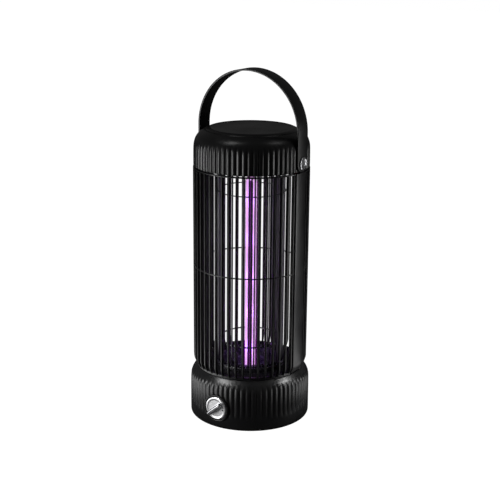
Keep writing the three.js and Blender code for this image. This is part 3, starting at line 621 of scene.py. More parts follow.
addPort(baseBody, portValues)
bezelValues = {"flangeWidth": 2.8, "flange": 1.6, "gap": 0.3, "clear": 0.5}
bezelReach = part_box("knob_bezel")[1].x / mm - bezelValues["flangeWidth"]
cutRound(
    baseBody, (0, 0, knobHeight), bezelReach + bezelValues["gap"],
    -baseRadius - 3, -baseRadius + 6, "Y",
)
shadeByAngle(baseBody, 40)
finishPiece(baseBody, shellFinish, "black_shell", "housing", "base_shell")

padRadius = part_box("rubber_pad")[1].x / mm
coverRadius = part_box("bottom_cover")[1].x / mm
coverValues = {
    "top": 3.8, "floor": 1.8, "foot": 0.82, "edge": 0.4, "padGap": 0.35, "screwWell": 2.9,
}


def makeCover(values):
    top, foot, floor = values["top"], values["foot"], values["floor"]
    rim = coverRadius - values["edge"]
    well = padRadius + values["padGap"]
    cover = turnedBody("bottomPlate", [
        (0, top), (rim, top), (coverRadius, top - values["edge"]), (coverRadius, 1.2), (rim, foot),
        (well + 0.45, foot), (well, 1.2), (well, floor), (0, floor),
    ], 120)
    for index in range(4):
        middle = middleOf(f"cover_screw_{index + 1}") / mm
        cutRound(cover, (middle.x, middle.y, 0), values["screwWell"], 0, floor, "Z")
    shadeByAngle(cover)
    return cover


cover = makeCover(coverValues)
finishPiece(cover, shellFinish, "black_shell", "housing", "bottom_cover")

padValues = {"top": 1.5, "edge": 0.5, "grooves": (3, 12), "grooveDepth": 0.5}


def makePad(values):
    edge, deep = values["edge"], values["grooveDepth"]
    rows = [(0, values["top"]), (padRadius, values["top"]), (padRadius, edge)]
    rows.append((padRadius - edge, 0.05))
    for inset in values["grooves"]:
        start = padRadius - inset
        rows += [(start, 0.0), (start - 0.6, deep), (start - 1.8, deep), (start - 2.4, 0.0)]
    pad = turnedBody("footPad", [*rows, (0, 0.0)], 120)
    shadeByAngle(pad)
    return pad


pad = makePad(padValues)
finishPiece(pad, rubberFinish, "black_rubber", "housing", "rubber_pad")

screwValues = {"head": 2.6, "shank": 1.4, "slotLength": 1.6, "slotWidth": 0.32, "slotTurn": 0.4}


# a pan-head screw with a cross recess, head down at the origin
def makeScrew(name, length):
    head, shank = screwValues["head"], screwValues["shank"]
    screw = turnedBody(name, [
        (0, 0.05), (head - 0.7, 0), (head - 0.15, 0.2), (head, 0.5), (head, 0.9), (shank, 0.95),
        (shank, length - 1), (0.5, length), (0, length),
    ], 32)
    long, wide = screwValues["slotLength"], screwValues["slotWidth"]
    for turn in (0, math.pi / 2):
        slot = boxPiece("recess", (-long, -wide, -0.2), (long, wide, 0.55), 0.08)
        turnTo(slot, (0, 0, turn + screwValues["slotTurn"]))
        cutAway(screw, slot)
    shadeByAngle(screw, 30)
    return screw


screwLow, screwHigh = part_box("cover_screw_1")
coverScrew = makeScrew("coverScrew", (screwHigh.z - screwLow.z) / mm)
for index in range(4):
    node = f"cover_screw_{index + 1}"
    middle = middleOf(node)
    screw = copyTurned(coverScrew, f"coverScrew{index + 1}", 0)
    turnTo(screw, (0, 0, 0), (middle.x, middle.y, screwLow.z))
    finishPiece(screw, screwFinish, "screw_steel", "housing", node)
bpy.data.objects.remove(coverScrew, do_unlink=True)
print("base made")


# rotary switch
knobValues = {
    "faceProud": 1.5, "wingTurn": 0.72, "wingLength": 20.5, "wingWidth": 5.4, "wingHeight": 5.0,
    "wingTaper": 0.72, "ridge": (0.9, 0.55, 1),
}


def onSwitchAxis(piece):
    turnTo(piece, (math.pi / 2, 0, 0), (0, 0, knobHeight * mm))


def makeKnob(values):
    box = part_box("switch_knob")
    radius = box[1].x / mm
    back = -box[1].y / mm
    face = baseRadius + values["faceProud"]
    disc = turnedBody("knobDisc", [
        (0, back), (radius - 0.4, back), (radius, back + 0.4), (radius, face - 1.1),
        (radius - 0.25, face - 0.6), (radius - 0.8, face - 0.15), (radius - 1.5, face),
        (radius - 2.3, face - 0.05), (radius - 2.8, face - 0.4), (radius - 4, face - 0.5),
        (0, face - 0.5),
    ], 128)
    shadeByAngle(disc, 40)
    half = values["wingLength"] / 2
    wide = values["wingWidth"] / 2
    top = face + values["wingHeight"]
    wing = boxPiece("knobWing", (-half, -wide, face - 1.2), (half, wide, top))
    startEdit(wing)
    bpy.ops.mesh.select_all(action="SELECT")
    bpy.ops.mesh.subdivide(number_cuts=3)
    pickVerts(wing, lambda co: co.z > top - 0.2)
    bpy.ops.transform.resize(value=values["ridge"], center_override=(0, 0, 0))
    pickVerts(wing, lambda co: abs(co.x) > half - 3.0)
    bpy.ops.transform.resize(value=(1, values["wingTaper"], 1), center_override=(0, 0, 0))
    endEdit()
    softenEdges(wing, 0.7, 3, 30)
    addModifier(wing, "SUBSURF", levels=1, render_levels=1)
    turnTo(wing, (0, 0, values["wingTurn"]))
    shadeByAngle(wing, 50)
    onSwitchAxis(disc)
    onSwitchAxis(wing)
    return disc, wing


knobDisc, knobWing = makeKnob(knobValues)
finishPiece(knobDisc, brushedFinish, "chrome_trim", "knob", "switch_knob")
finishPiece(knobWing, chromeFinish, "chrome_trim", "knob", "switch_knob")

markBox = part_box("knob_mark")
markReach = (markBox[0].x + markBox[1].x) / 2 / mm
markValues = {"radius": 0.9, "low": 0.5, "high": 1.4}
markRadius = markValues["radius"]
markLow, markHigh = baseRadius + markValues["low"], baseRadius + markValues["high"]
mark = turnedBody("knobMark", [
    (0, markLow), (markRadius - 0.1, markLow), (markRadius, markLow + 0.1),
    (markRadius, markHigh - 0.2), (markRadius - 0.2, markHigh - 0.05), (0, markHigh),
], 32)
turnTo(mark, (0, 0, 0), (markReach * mm, 0, 0))
onSwitchAxis(mark)
shadeByAngle(mark)
finishPiece(mark, innerFinish, "inner_plastic", "knob", "knob_mark")

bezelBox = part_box("knob_bezel")
bezelBack, bezelFace = -bezelBox[1].y / mm, -bezelBox[0].y / mm
bezelStep = bezelBack + bezelValues["flange"]
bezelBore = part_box("switch_knob")[1].x / mm + bezelValues["clear"]
bezel = turnedRing("knobBezel", [
    (bezelBore, bezelBack), (bezelBox[1].x / mm, bezelBack), (bezelBox[1].x / mm, bezelStep),
    (bezelReach, bezelStep), (bezelReach, bezelFace - 0.7), (bezelReach - 0.2, bezelFace - 0.25),
    (bezelReach - 0.6, bezelFace), (bezelBore + 0.4, bezelFace),
    (bezelBore + 0.05, bezelFace - 0.2), (bezelBore, bezelFace - 0.6),
], 128)
onSwitchAxis(bezel)
shadeByAngle(bezel, 40)
finishPiece(bezel, shellFinish, "black_shell", "housing", "knob_bezel")
print("switch made")


# port flap
flapLow, flapHigh = (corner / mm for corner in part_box("port_flap"))
flapValues = {"back": 0.15, "front": 0.65, "hinge": 0.95, "knuckle": 0.92, "lipHalf": 4.2}


def makeFlap(values):
    plate = boxPiece(
        "portFlap", (flapLow.x, flapLow.y + values["back"], flapLow.z + values["hinge"]),
        (flapHigh.x, flapHigh.y - values["front"], flapHigh.z), 0.55, 3,
    )
    half = values["lipHalf"]
    lip = boxPiece(
        "flapLip", (-half, flapHigh.y - 0.9, flapHigh.z - 2.6),
        (half, flapHigh.y, flapHigh.z - 1.2), 0.3, 2,
    )
    radius = values["knuckle"]
    knuckle = turnedBody("flapKnuckle", [
        (0, flapLow.x), (0.75, flapLow.x), (radius, flapLow.x + 0.2), (radius, flapHigh.x - 0.2),
        (0.75, flapHigh.x), (0, flapHigh.x),
    ], 32)
    middle = middleOf("flap_pin")
    turnTo(knuckle, (0, math.pi / 2, 0), (0, middle.y, middle.z))
    return joinPieces("portFlap", [plate, lip, knuckle])


portFlap = makeFlap(flapValues)
shadeByAngle(portFlap, 40)
finishPiece(portFlap, rubberFinish, "black_rubber", "flap", "port_flap")


# guard
guardValues = {
    "barsPerHalf": 22, "barWidth": 1.7, "barDepth": 3.5, "edge": 0.45, "firstGap": 2.78,
    "pillarWidth": 18.2, "pillarGap": 0.012, "hoopShift": 3.2, "foot": 0.9, "straight": 60,
    "rings": {"Lower": (7.5, 3.5, 2.6), "Upper": (4, 0.15, 1.2), "Hoop": (1.6, 0.25, 1.2)},
    "curve": [(0, 9.2), (-0.25, 7.4), (-1.09, 4.6), (-2.25, 2.2), (-3.6, 0.0)],
}


def guardRows():
    foot = guardLow + guardValues["foot"]
    rows = [(guardRadius, guardTop - 0.5), (guardRadius, foot + guardValues["straight"])]
    return rows + [(guardRadius + shift, foot + rise) for shift, rise in guardValues["curve"]]


def makeBar(values):
    rows = guardRows()
    middle = guardRadius - values["barDepth"] / 2
    deselectAll()
    bpy.ops.mesh.primitive_plane_add(size=1, location=(middle * mm, 0, rows[0][1] * mm))
    bar = bpy.context.object
    bar.name = "guardBar"
    bar.scale = (values["barDepth"] * mm, values["barWidth"] * mm, 1)
    settlePlace(bar)
    startEdit(bar)
    bpy.ops.mesh.select_all(action="SELECT")
    for (radius, height), (nextRadius, nextHeight) in zip(rows, rows[1:]):
        bpy.ops.mesh.extrude_region_move(
            TRANSFORM_OT_translate=nudge(nextRadius - radius, 0, nextHeight - height)
        )
    endEdit()
    faceOutwards(bar)
    softenEdges(bar, values["edge"], 2, 60)
    shadeByAngle(bar, 50)
    return bar


pillarEdge = math.asin(guardValues["pillarWidth"] / 2 / guardRadius)
firstBar = pillarEdge + math.radians(guardValues["firstGap"])
barPitch = (math.pi - 2 * firstBar) / (guardValues["barsPerHalf"] - 1)


# part of a turned ring, from one angle to another
def arcPiece(name, rows, start, end, steps=64, bevel=0.25):
    deselectAll()
    bpy.ops.mesh.primitive_plane_add(size=0.001)
    arc = bpy.context.object
    arc.name = name
    (lowR, lowZ), (highR, highZ) = rows
    arc.scale = (highR - lowR, highZ - lowZ, 1)
    arc.rotation_euler = (math.pi / 2, 0, 0)
    arc.location = ((lowR + highR) / 2 * mm, 0, (lowZ + highZ) / 2 * mm)
    settlePlace(arc)
    turnTo(arc, (0, 0, start))
    startEdit(arc)
    bpy.ops.mesh.select_all(action="SELECT")
    bpy.ops.mesh.spin(
        steps=steps, angle=start - end, center=(0, 0, 0), axis=(0, 0, 1), dupli=False
    )
    endEdit()
    faceOutwards(arc)
    softenEdges(arc, bevel, 2, 60)
    shadeByAngle(arc, 50)
    return arc


def makeGuardHalf(name, turn, bar):
    pieces = []
    for index in range(guardValues["barsPerHalf"]):
        angle = turn + firstBar + index * barPitch
        pieces.append(copyTurned(bar, f"{name}Bar{index + 1}", angle))
    start = pillarEdge + guardValues["pillarGap"]
    end = math.pi - start
    rings = guardValues["rings"]
    hoopAt = (guardLow + guardTop) / 2 + guardValues["hoopShift"]
    lows = {
        "Lower": guardLow, "Upper": guardTop - rings["Upper"][2],
        "Hoop": hoopAt - rings["Hoop"][2] / 2,
    }
    for label, (inner, outer, tall) in rings.items():
        rows = ((guardRadius - inner, lows[label]), (guardRadius - outer, lows[label] + tall))
        pieces.append(arcPiece(f"{name}{label}", rows, turn + start, turn + end))
    return joinPieces(name, pieces)


guardBar = makeBar(guardValues)
guardRear = makeGuardHalf("guardRear", 0.0, guardBar)
guardFront = makeGuardHalf("guardFront", math.pi, guardBar)
bpy.data.objects.remove(guardBar, do_unlink=True)
finishPiece(guardRear, guardFinish, "black_guard", "housing", "cage_rear")
finishPiece(guardFront, guardFinish, "black_guard", "housing", "cage_front")


pillarValues = {"depth": 5.0, "steps": 8, "edge": 0.5}


# smooth post beside the bars, drawn down from its plan and curved in at the foot
def makePillar(name):
    rows = guardRows()
    rows[0] = (guardRadius, guardTop)
    plan = ((guardRadius - pillarValues["depth"], guardTop - 1), (guardRadius, guardTop))
    arc = arcPiece(name, plan, -pillarEdge, pillarEdge, pillarValues["steps"], 0.0001)
    startEdit(arc)
    for (radius, height), (nextRadius, nextHeight) in zip(rows, rows[1:]):
        lowest = min(v.co.z for v in bmesh.from_edit_mesh(arc.data).verts) / mm
        pickVerts(arc, lambda co, lowest=lowest: abs(co.z - lowest) < 0.01)
        if height == rows[0][1]:
            bpy.ops.transform.translate(value=(0, 0, (nextHeight - lowest) * mm))
            continue
        bpy.ops.mesh.extrude_region_move(
            TRANSFORM_OT_translate=nudge(nextRadius - radius, 0, nextHeight - height)
        )
    endEdit()
    faceOutwards(arc)
    softenEdges(arc, pillarValues["edge"], 3, 50)
    shadeByAngle(arc, 50)
    return arc


pillarRight = makePillar("pillarRight")
pillarLeft = copyTurned(pillarRight, "pillarLeft", math.pi)
finishPiece(pillarRight, guardFinish, "black_guard", "housing", "pillar_right")
finishPiece(pillarLeft, guardFinish, "black_guard", "housing", "pillar_left")
print("guard made")


# wire grid and lamp
gridValues = {
    "wires": 36, "wireRadius": 0.8, "firstTurn": 9.5, "hoopDrop": 25.5, "hoopRise": 26.8,
    "neutral": {"radius": 34.4, "hoopRadius": 35.24, "hoopSize": 0.6},
    "live": {"radius": 33.4, "hoopRadius": 32.2, "hoopSize": 0.8},
}


def makeWire(radius, low, high):
    deselectAll()
    size = gridValues["wireRadius"]
    bpy.ops.mesh.primitive_cylinder_add(
        vertices=12, radius=size * mm, depth=(high - low - 2) * mm,
        location=(radius * mm, 0, (low + high) / 2 * mm),
    )
    wire = bpy.context.object
    settlePlace(wire)
    startEdit(wire)
    for side, limit in ((-1, low + 1), (1, high - 1)):
        pickVerts(wire, lambda co, limit=limit: abs(co.z - limit) < 0.01)
        bpy.ops.mesh.extrude_region_move(TRANSFORM_OT_translate=nudge(0, 0, side))
        bpy.ops.transform.resize(
            value=(0.6, 0.6, 1), center_override=(radius * mm, 0, (limit + side) * mm)
        )
    endEdit()
    shadeByAngle(wire, 40)
    return wire


def makeGrid(name, node, phase, hoopAt, sizes):
    low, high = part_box(node)
    wire = makeWire(sizes["radius"], low.z / mm, high.z / mm)
    count = gridValues["wires"] // 2
    step = 2 * math.pi / count
    start = math.radians(gridValues["firstTurn"]) + phase * step / 2
    pieces = [copyTurned(wire, f"{name}Wire{i + 1}", start + i * step) for i in range(count)]
    bpy.data.objects.remove(wire, do_unlink=True)
    size = sizes["hoopSize"]
    ring = []
    for corner in range(8):
        turn = corner * math.pi / 4
        ring.append((sizes["hoopRadius"] + size * math.cos(turn), hoopAt + size * math.sin(turn)))
    hoop = turnedRing(f"{name}Hoop", ring, 96)
    shadeByAngle(hoop, 60)
    grid = joinPieces(name, [*pieces, hoop])
    finishPiece(grid, wireFinish, "grid_steel", "housing", node)


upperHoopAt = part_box("upper_grid_seat")[1].z / mm - gridValues["hoopDrop"]
makeGrid("gridNeutral", "grid_neutral", 0, upperHoopAt, gridValues["neutral"])
makeGrid("gridLive", "grid_live", 1, guardLow + gridValues["hoopRise"], gridValues["live"])

seatValues = {"width": 6.8, "floor": 1.5, "outerWall": 1.8, "innerWall": 1.7}


def makeSeat(name, node, openUp):
    low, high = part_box(node)
    bottom, top = low.z / mm, high.z / mm
    outer = high.x / mm
    inner = outer - seatValues["width"]
    floor = bottom + seatValues["floor"]
    outerWall, innerWall = outer - seatValues["outerWall"], inner + seatValues["innerWall"]
    rows = [
        (inner, bottom), (outer - 0.5, bottom), (outer, bottom + 0.5), (outer, top - 0.7),
        (outer - 0.25, top - 0.2), (outer - 0.7, top), (outer - 1.4, top), (outerWall, top - 0.4),
        (outerWall, floor), (innerWall, floor), (innerWall, top - 0.4),
        (inner + 1.3, top), (inner + 0.5, top), (inner, top - 0.5),
    ]
    if not openUp:
        rows = [(radius, bottom + top - height) for radius, height in rows]
    seat = turnedRing(name, rows, 120)
    shadeByAngle(seat, 40)
    finishPiece(seat, insulatorFinish, "insulator", "housing", node)


makeSeat("lowerSeat", "lower_grid_seat", True)
makeSeat("upperSeat", "upper_grid_seat", False)

trayValues = {"gap": 0.3, "floor": 1.1, "lip": 2.0, "rim": 2.4}
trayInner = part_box("lower_grid_seat")[1].x / mm + trayValues["gap"]
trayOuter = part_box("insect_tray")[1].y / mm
trayFloor, trayLip, trayRim = (guardLow + trayValues[key] for key in ("floor", "lip", "rim"))
tray = turnedRing("insectTray", [
    (trayInner, guardLow), (trayOuter, guardLow), (trayOuter, trayLip), (trayOuter - 0.3, trayRim),
    (trayOuter - 0.9, trayRim), (trayOuter - 1.3, trayLip), (trayOuter - 2.2, trayFloor),
    (trayInner, trayFloor),
], 120)
shadeByAngle(tray, 40)
finishPiece(tray, trayFinish, "black_guard", "housing", "insect_tray")

lampValues = {"legRadius": 3.1, "coreRadius": 1.75, "spread": 4.35}


def makeTube(name, radius, low, bend):
    spread = lampValues["spread"]
    deselectAll()
    bpy.ops.mesh.primitive_circle_add(
        vertices=28, radius=radius * mm, location=(spread * mm, 0, bend * mm)
    )
    tube = bpy.context.object
    tube.name = name
    settlePlace(tube)
    startEdit(tube)
    bpy.ops.mesh.select_all(action="SELECT")
    bpy.ops.mesh.spin(
        steps=24, angle=math.pi, center=(0, 0, bend * mm), axis=(0, 1, 0), dupli=False
    )
    for side in (-1, 1):
        pickVerts(tube, lambda co, side=side: abs(co.z - bend) < 0.01 and co.x * side > 0)
        bpy.ops.mesh.extrude_region_move(TRANSFORM_OT_translate=nudge(0, 0, low - bend))
        bpy.ops.mesh.extrude_region_move(TRANSFORM_OT_translate=nudge(0, 0, -0.2))
        bpy.ops.mesh.merge(type="CENTER")
    endEdit()
    faceOutwards(tube)
    shadeByAngle(tube, 60)
    return tube


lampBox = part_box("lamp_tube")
bendHeight = lampBox[1].z / mm - lampValues["legRadius"] - lampValues["spread"]
lampLow = lampBox[0].z / mm + 0.3
lampCore = makeTube("lampCore", lampValues["coreRadius"], lampLow + 0.5, bendHeight)
lampGlass = makeTube("lampGlass", lampValues["legRadius"], lampLow, bendHeight)
finishPiece(lampCore, coreFinish, "lamp_glass", "housing", "lamp_tube")
finishPiece(lampGlass, tubeFinish, "lamp_glass", "housing", "lamp_tube")

holderValues = {"lip": 3.0, "wallInset": 2.4, "wellInset": 3.4, "step": 2.6, "legHole": 3.4}


def makeHolder(values):
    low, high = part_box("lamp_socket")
    flange, bottom, top = high.x / mm, low.z / mm, high.z / mm
    wall, well = flange - values["wallInset"], flange - values["wellInset"]
    step = bottom + values["step"]
    holder = turnedBody("lampHolder", [
        (0, bottom), (wall - 0.4, bottom), (wall, bottom + 0.4), (wall, guardLow),
        (flange, guardLow), (flange, top - 0.4), (flange - 0.4, top), (flange - values["lip"], top),
        (well, top - 0.4), (well, step + 1.0), (well - 0.6, step + 0.4), (9.5, step + 0.4),
        (9.0, step), (0, step),
    ], 72)
    for side in (-1, 1):
        hole = (side * lampValues["spread"], 0, 0)
        cutRound(holder, hole, values["legHole"], bottom + 1.1, top + 1, "Z")
    return holder


socket = makeHolder(holderValues)
shadeByAngle(socket, 40)
finishPiece(socket, insulatorFinish, "insulator", "housing", "lamp_socket")
print("grid and lamp made")


# cap
capValues = {
    "wall": 3.0, "lidGap": 0.35, "ledge": 36.1, "roof": 33.9, "fade": (1, 0.97, 0.8, 0.45, 0.12),
    "shoulder": [(0.1, 19.0), (0.28, 21.6), (0.55, 23.6), (1.0, 25.4), (1.6, 27.2),
                 (2.4, 29.0), (3.7, 31.2), (5.3, 33.0), (7.4, 34.8), (9.4, 36.0)],
}


def makeCap(values):
    wall = capRadius - values["wall"]
    gap = lidRadius + values["lidGap"]
    hole = lidRadius - 5
    ledge, roof = capLow + values["ledge"], capLow + values["roof"]
    rows = [(hole, ledge), (hole, roof), (wall - 10, roof), (wall - 4, capLow + 29)]
    rows += [(wall, capLow + 19), (wall, capLow + 0.6), (wall + 0.3, capLow)]
    rows += [(capRadius - 0.5, capLow), (capRadius - 0.1, capLow + 0.4), (capRadius, capLow + 1.2)]
    rows += [(capRadius, capLow + rise) for rise in (6.0, 12.0)]
    rows += [(capRadius - inset, capLow + rise) for inset, rise in values["shoulder"]]
    rows += [(gap + 1.1, capLow + 36.9), (gap + 0.5, capLow + 37.15), (gap + 0.12, capLow + 37.0)]
    rows += [(gap, capLow + 36.7), (gap - 0.2, ledge)]
    cap = turnedRing("capBody", rows, fluteSides)
    deep = {capLow + rise: 1 for rise in (0, 0.4, 1.2, 6.0, 12.0)}
    for (inset, rise), share in zip(values["shoulder"], values["fade"]):
        deep[capLow + rise] = share
    pressFlutes(cap, deep)
    addModifier(cap, "SUBSURF", levels=1, render_levels=1)
    startEdit(cap)
    trimSides(capFlat)
    endEdit()
    return cap


capBody = makeCap(capValues)
shadeByAngle(capBody, 40)
finishPiece(capBody, shellFinish, "black_shell", "housing", "cap_shell")

# how far each row of the lid stands in from its rim and down from its top
lidValues = {
    "rows": [(0, 2.4), (0, 2.0), (0.25, 1.65), (0.9, 1.2), (2.2, 0.6), (3.4, 0.15), (4.3, 0),
             (5.6, 0), (6.4, 0.2), (7.2, 0.5), (9, 0.62), (18, 0.5)],
    "underside": 2.4, "middle": 0.4,
}
lidRows = [(lidRadius - inset, lidTop - drop) for inset, drop in lidValues["rows"]]
lidStart, lidEnd = lidTop - lidValues["underside"], lidTop - lidValues["middle"]
lid = turnedBody("capLid", [(0, lidStart), *lidRows, (0, lidEnd)], 160)
shadeByAngle(lid, 30)
finishPiece(lid, shellFinish, "black_shell", "housing", "cap_lid")
print("cap made")


# handle
strapValues = {"width": 18.2, "thickness": 1.8, "edge": 0.4, "steps": 64}


def makeStrap(values):
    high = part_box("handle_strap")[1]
    outer = high.x / mm
    middle = outer - values["thickness"] / 2
    spring = high.z / mm - outer
    half = values["width"] / 2
    deselectAll()
    bpy.ops.mesh.primitive_plane_add(size=1, location=(middle * mm, 0, spring * mm))
    strap = bpy.context.object
    strap.name = "carryStrap"
    strap.scale = (values["thickness"] * mm, values["width"] * mm, 1)
    settlePlace(strap)
    startEdit(strap)
    bpy.ops.mesh.select_all(action="SELECT")
    bpy.ops.mesh.delete(type="ONLY_FACE")
    bpy.ops.mesh.select_all(action="SELECT")
    bpy.ops.mesh.spin(
        steps=values["steps"], angle=math.pi, center=(0, 0, spring * mm), axis=(0, 1, 0),
        dupli=False,
    )
    ends = [(half, pivotHeight)]
    for step in range(1, 9):
        turn = step / 8 * math.pi / 2
        ends.append((max(half * math.cos(turn), 0.7), pivotHeight - half * math.sin(turn)))
    for side in (-1, 1):
        pickVerts(strap, lambda co, side=side: abs(co.z - spring) < 0.01 and co.x * side > 0)
        wide, height = half, spring
        for nextWide, nextHeight in ends:
            bpy.ops.mesh.extrude_region_move(
                TRANSFORM_OT_translate=nudge(0, 0, nextHeight - height)
            )
            bpy.ops.transform.resize(
                value=(1, nextWide / wide, 1),
                center_override=(side * middle * mm, 0, nextHeight * mm),
            )
            wide, height = nextWide, nextHeight
        bpy.ops.mesh.edge_face_add()
    endEdit()
    faceOutwards(strap)
    softenEdges(strap, values["edge"], 3, 50)
    shadeByAngle(strap, 50)
    return strap


strap = makeStrap(strapValues)
finishPiece(strap, strapFinish, "black_strap", "handle", "handle_strap")


# how far each row of the head stands in from its rim and out from its seat
rivetValues = {
    "height": 1.3, "shank": 3.0, "length": 8, "head": [
        (0.2, 0), (0, 0.2), (0, 0.6), (0.25, 1.0), (0.8, 1.3), (1.5, 1.25), (2.0, 0.85), (2.3, 0.6),
        (3.4, 0.6),
    ],
}


def makeRivet(name):
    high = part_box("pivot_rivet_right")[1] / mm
    radius = high.z - pivotHeight
    seat = high.x - rivetValues["height"]
    shank, tip = rivetValues["shank"], seat - rivetValues["length"]
    head = [(radius - inset, seat + rise) for inset, rise in rivetValues["head"]]
    rivet = turnedBody(name, [
        (0, tip), (shank, tip), (shank, seat), *head, (1.2, seat + 0.75), (0, seat + 0.8),
    ], 72)
    turnTo(rivet, (0, math.pi / 2, 0), (0, 0, pivotHeight * mm))
    shadeByAngle(rivet, 40)
    return rivet


rivetRight = makeRivet("rivetRight")
rivetLeft = copyTurned(rivetRight, "rivetLeft", math.pi)
finishPiece(rivetRight, chromeFinish, "chrome_trim", "housing", "pivot_rivet_right")
finishPiece(rivetLeft, chromeFinish, "chrome_trim", "housing", "pivot_rivet_left")
print("handle made")


# finishes on the solids that stay
keptFinishes = {
    "battery_cradle": innerFinish, "battery_cell_1": cellFinish, "battery_cell_2": cellFinish,
    "circuit_board": boardFinish, "charge_board": boardFinish, "hv_transformer": ferriteFinish,
    "filter_capacitor": ferriteFinish, "usb_socket": screwFinish, "rotary_switch": innerFinish,
    "switch_shaft": screwFinish, "flap_pin": screwFinish, "top_lead": leadFinish,
    "lamp_stop": rubberFinish, "cap_floor": innerFinish, "cap_screw_left": screwFinish,
    "cap_screw_right": screwFinish, "deck_screw_left": screwFinish,
    "deck_screw_right": screwFinish, "pivot_nut_left": screwFinish, "pivot_nut_right": screwFinish,
}
for nodeName, finish in keptFinishes.items():
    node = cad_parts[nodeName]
    for slot in node.material_slots:
        slot.material = finish
print("kept solids finished")


# floor, lights and camera
viewValues = {
    "azimuth": 33.1, "distance": 1.1363, "height": 0.5, "pitch": 15.83, "roll": 0.49,
    "lens": 81.5, "shift": -0.0018,
}


# the floor and the sky look pale to the camera and stay dim in reflections
stageValues = {"size": 12, "pale": 0.8, "glow": 1.12, "glowShare": 0.93, "dim": 0.12, "sky": 0.06}


def grey(tone):
    return (tone, tone, tone, 1)


def makeFloor():
    deselectAll()
    bpy.ops.mesh.primitive_plane_add(size=stageValues["size"], location=(0, 0, 0))
    floor = bpy.context.object
    floor.name = "studioFloor"
    finish = bpy.data.materials.new("paleFloor")
    finish.use_nodes = True
    tree = finish.node_tree
    tree.nodes.clear()
    link = tree.links.new
    out = newNode(tree, "OutputMaterial")
    seen = newNode(tree, "LightPath")
    lit = newNode(tree, "BsdfDiffuse", {"Color": grey(stageValues["pale"])})
    plain = newNode(tree, "Emission", {"Color": grey(1), "Strength": stageValues["glow"]})
    pale = newNode(tree, "MixShader", {0: stageValues["glowShare"]})
    dim = newNode(tree, "BsdfDiffuse", {"Color": grey(stageValues["dim"])})
    both = newNode(tree, "MixShader")
    link(lit.outputs[0], pale.inputs[1])
    link(plain.outputs[0], pale.inputs[2])
    link(seen.outputs["Is Camera Ray"], both.inputs[0])
    link(dim.outputs[0], both.inputs[1])
    link(pale.outputs[0], both.inputs[2])
    link(both.outputs[0], out.inputs["Surface"])
    floor.data.materials.append(finish)


def makeSky():
    world = bpy.data.worlds.new("studio")
    bpy.context.scene.world = world
    world.use_nodes = True
    tree = world.node_tree
    tree.nodes.clear()
    out = newNode(tree, "OutputWorld")
    seen = newNode(tree, "LightPath")
    white = newNode(tree, "Background", {"Color": grey(1), "Strength": 1.0})
    dark = newNode(tree, "Background", {"Color": grey(stageValues["sky"])})
    mix = newNode(tree, "MixShader")
    link = tree.links.new
    link(seen.outputs["Is Camera Ray"], mix.inputs[0])
    link(dark.outputs[0], mix.inputs[1])
    link(white.outputs[0], mix.inputs[2])
    link(mix.outputs[0], out.inputs["Surface"])


def addAreaLight(name, size, power, spread=180):
    lamp = bpy.data.lights.new(name, "AREA")
    lamp.shape = "RECTANGLE"
    lamp.size, lamp.size_y = size
    lamp.energy = power
    lamp.spread = math.radians(spread)
    light = bpy.data.objects.new(name, lamp)
    bpy.context.collection.objects.link(light)
    light.visible_camera = False
    return light


# a softbox that stands round the object at an angle to the camera, aimed at a height
def addSoftbox(name, turn, distance, height, size, power, aim=0.18, spread=180):
    angle = math.radians(viewValues["azimuth"] + turn)
    box = addAreaLight(name, size, power, spread)
    box.location = (distance * math.sin(angle), -distance * math.cos(angle), height)
    aimAt = Vector((0, 0, aim)) - box.location
    box.rotation_euler = aimAt.to_track_quat("-Z", "Y").to_euler()


# a soft panel that lies on the floor and faces up, hidden from the camera
def addFloorPanel(name, turn, near, far, width, power):
    angle = math.radians(viewValues["azimuth"] + turn)
    panel = addAreaLight(name, (width, far - near), power)
    reach = (near + far) / 2
    panel.location = (reach * math.sin(angle), -reach * math.cos(angle), 0.002)
    panel.rotation_euler = (math.pi, 0, angle)


# turn from the camera, distance, height, size, power, aim height and spread
lightValues = {
    "leftBox": (-70, 0.75, 0.13, (0.28, 0.3), 1.9),
    "rightBox": (86, 0.8, 0.12, (0.2, 0.28), 1.1),
    "highLeft": (-62, 0.5, 1.05, (0.22, 0.3), 0.65),
    "highRight": (72, 0.5, 1.0, (0.16, 0.22), 0.25),
    "lowLeft": (-57, 0.25, 0.25, (0.1, 0.05), 0.05, 0.05, 60),
    "lowRight": (75, 0.245, 0.19, (0.08, 0.05), 0.032, 0.05, 60),
}
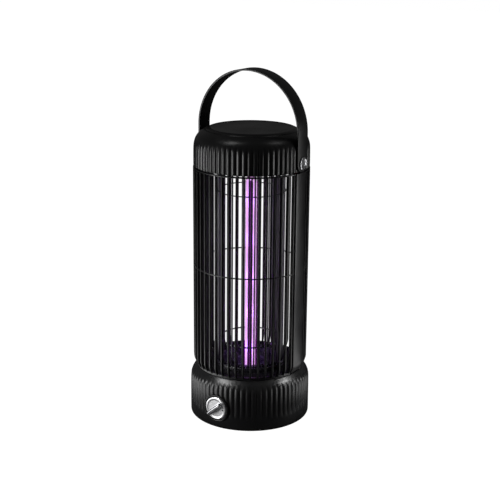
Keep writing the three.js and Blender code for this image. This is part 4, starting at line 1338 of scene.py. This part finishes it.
# turn from the camera, near edge, far edge, width and power
panelValues = {
    "leftPanel": (-76, 0.12, 0.65, 0.2, 0.8),
    "rightPanel": (80, 0.12, 0.65, 0.14, 0.35),
}
# small violet lights beside the lamp, for the glow it throws on the wires
glowValues = {
    "heights": (70, 110, 150, 190, 230), "side": 9, "power": 0.02, "softness": 0.003,
    "colour": (0.5, 0.24, 1.0),
}


def makeLights():
    for name, values in lightValues.items():
        addSoftbox(name, *values)
    for name, values in panelValues.items():
        addFloorPanel(name, *values)
    for index, height in enumerate(glowValues["heights"]):
        for side in (-1, 1):
            lamp = bpy.data.lights.new(f"lampGlow{index}{side}", "POINT")
            lamp.energy = glowValues["power"]
            lamp.color = glowValues["colour"]
            lamp.shadow_soft_size = glowValues["softness"]
            glow = bpy.data.objects.new(lamp.name, lamp)
            bpy.context.collection.objects.link(glow)
            glow.location = (0, side * glowValues["side"] * mm, height * mm)
            glow.visible_glossy = False


def makeCamera(values):
    turn = math.radians(values["azimuth"])
    pitch = math.radians(values["pitch"])
    roll = math.radians(values["roll"])
    ahead = Vector((-math.sin(turn), math.cos(turn), 0))
    forward = ahead * math.cos(pitch) - Vector((0, 0, math.sin(pitch)))
    right = forward.cross(Vector((0, 0, 1))).normalized()
    up = right.cross(forward)
    leanRight = right * math.cos(roll) + up * math.sin(roll)
    leanUp = up * math.cos(roll) - right * math.sin(roll)
    lens = bpy.data.cameras.new("mainCamera")
    lens.lens = values["lens"]
    lens.sensor_width = 36
    lens.shift_x = values["shift"]
    lens.clip_start, lens.clip_end = 0.05, 50
    camera = bpy.data.objects.new("mainCamera", lens)
    bpy.context.collection.objects.link(camera)
    facing = Matrix((leanRight, leanUp, -forward)).transposed()
    camera.rotation_mode = "QUATERNION"
    camera.rotation_quaternion = facing.to_quaternion()
    spot = -ahead * values["distance"]
    camera.location = (spot.x, spot.y, values["height"])
    bpy.context.scene.camera = camera


makeFloor()
makeSky()
makeLights()
makeCamera(viewValues)
bpy.context.scene.view_settings.view_transform = "Standard"
print("stage made")
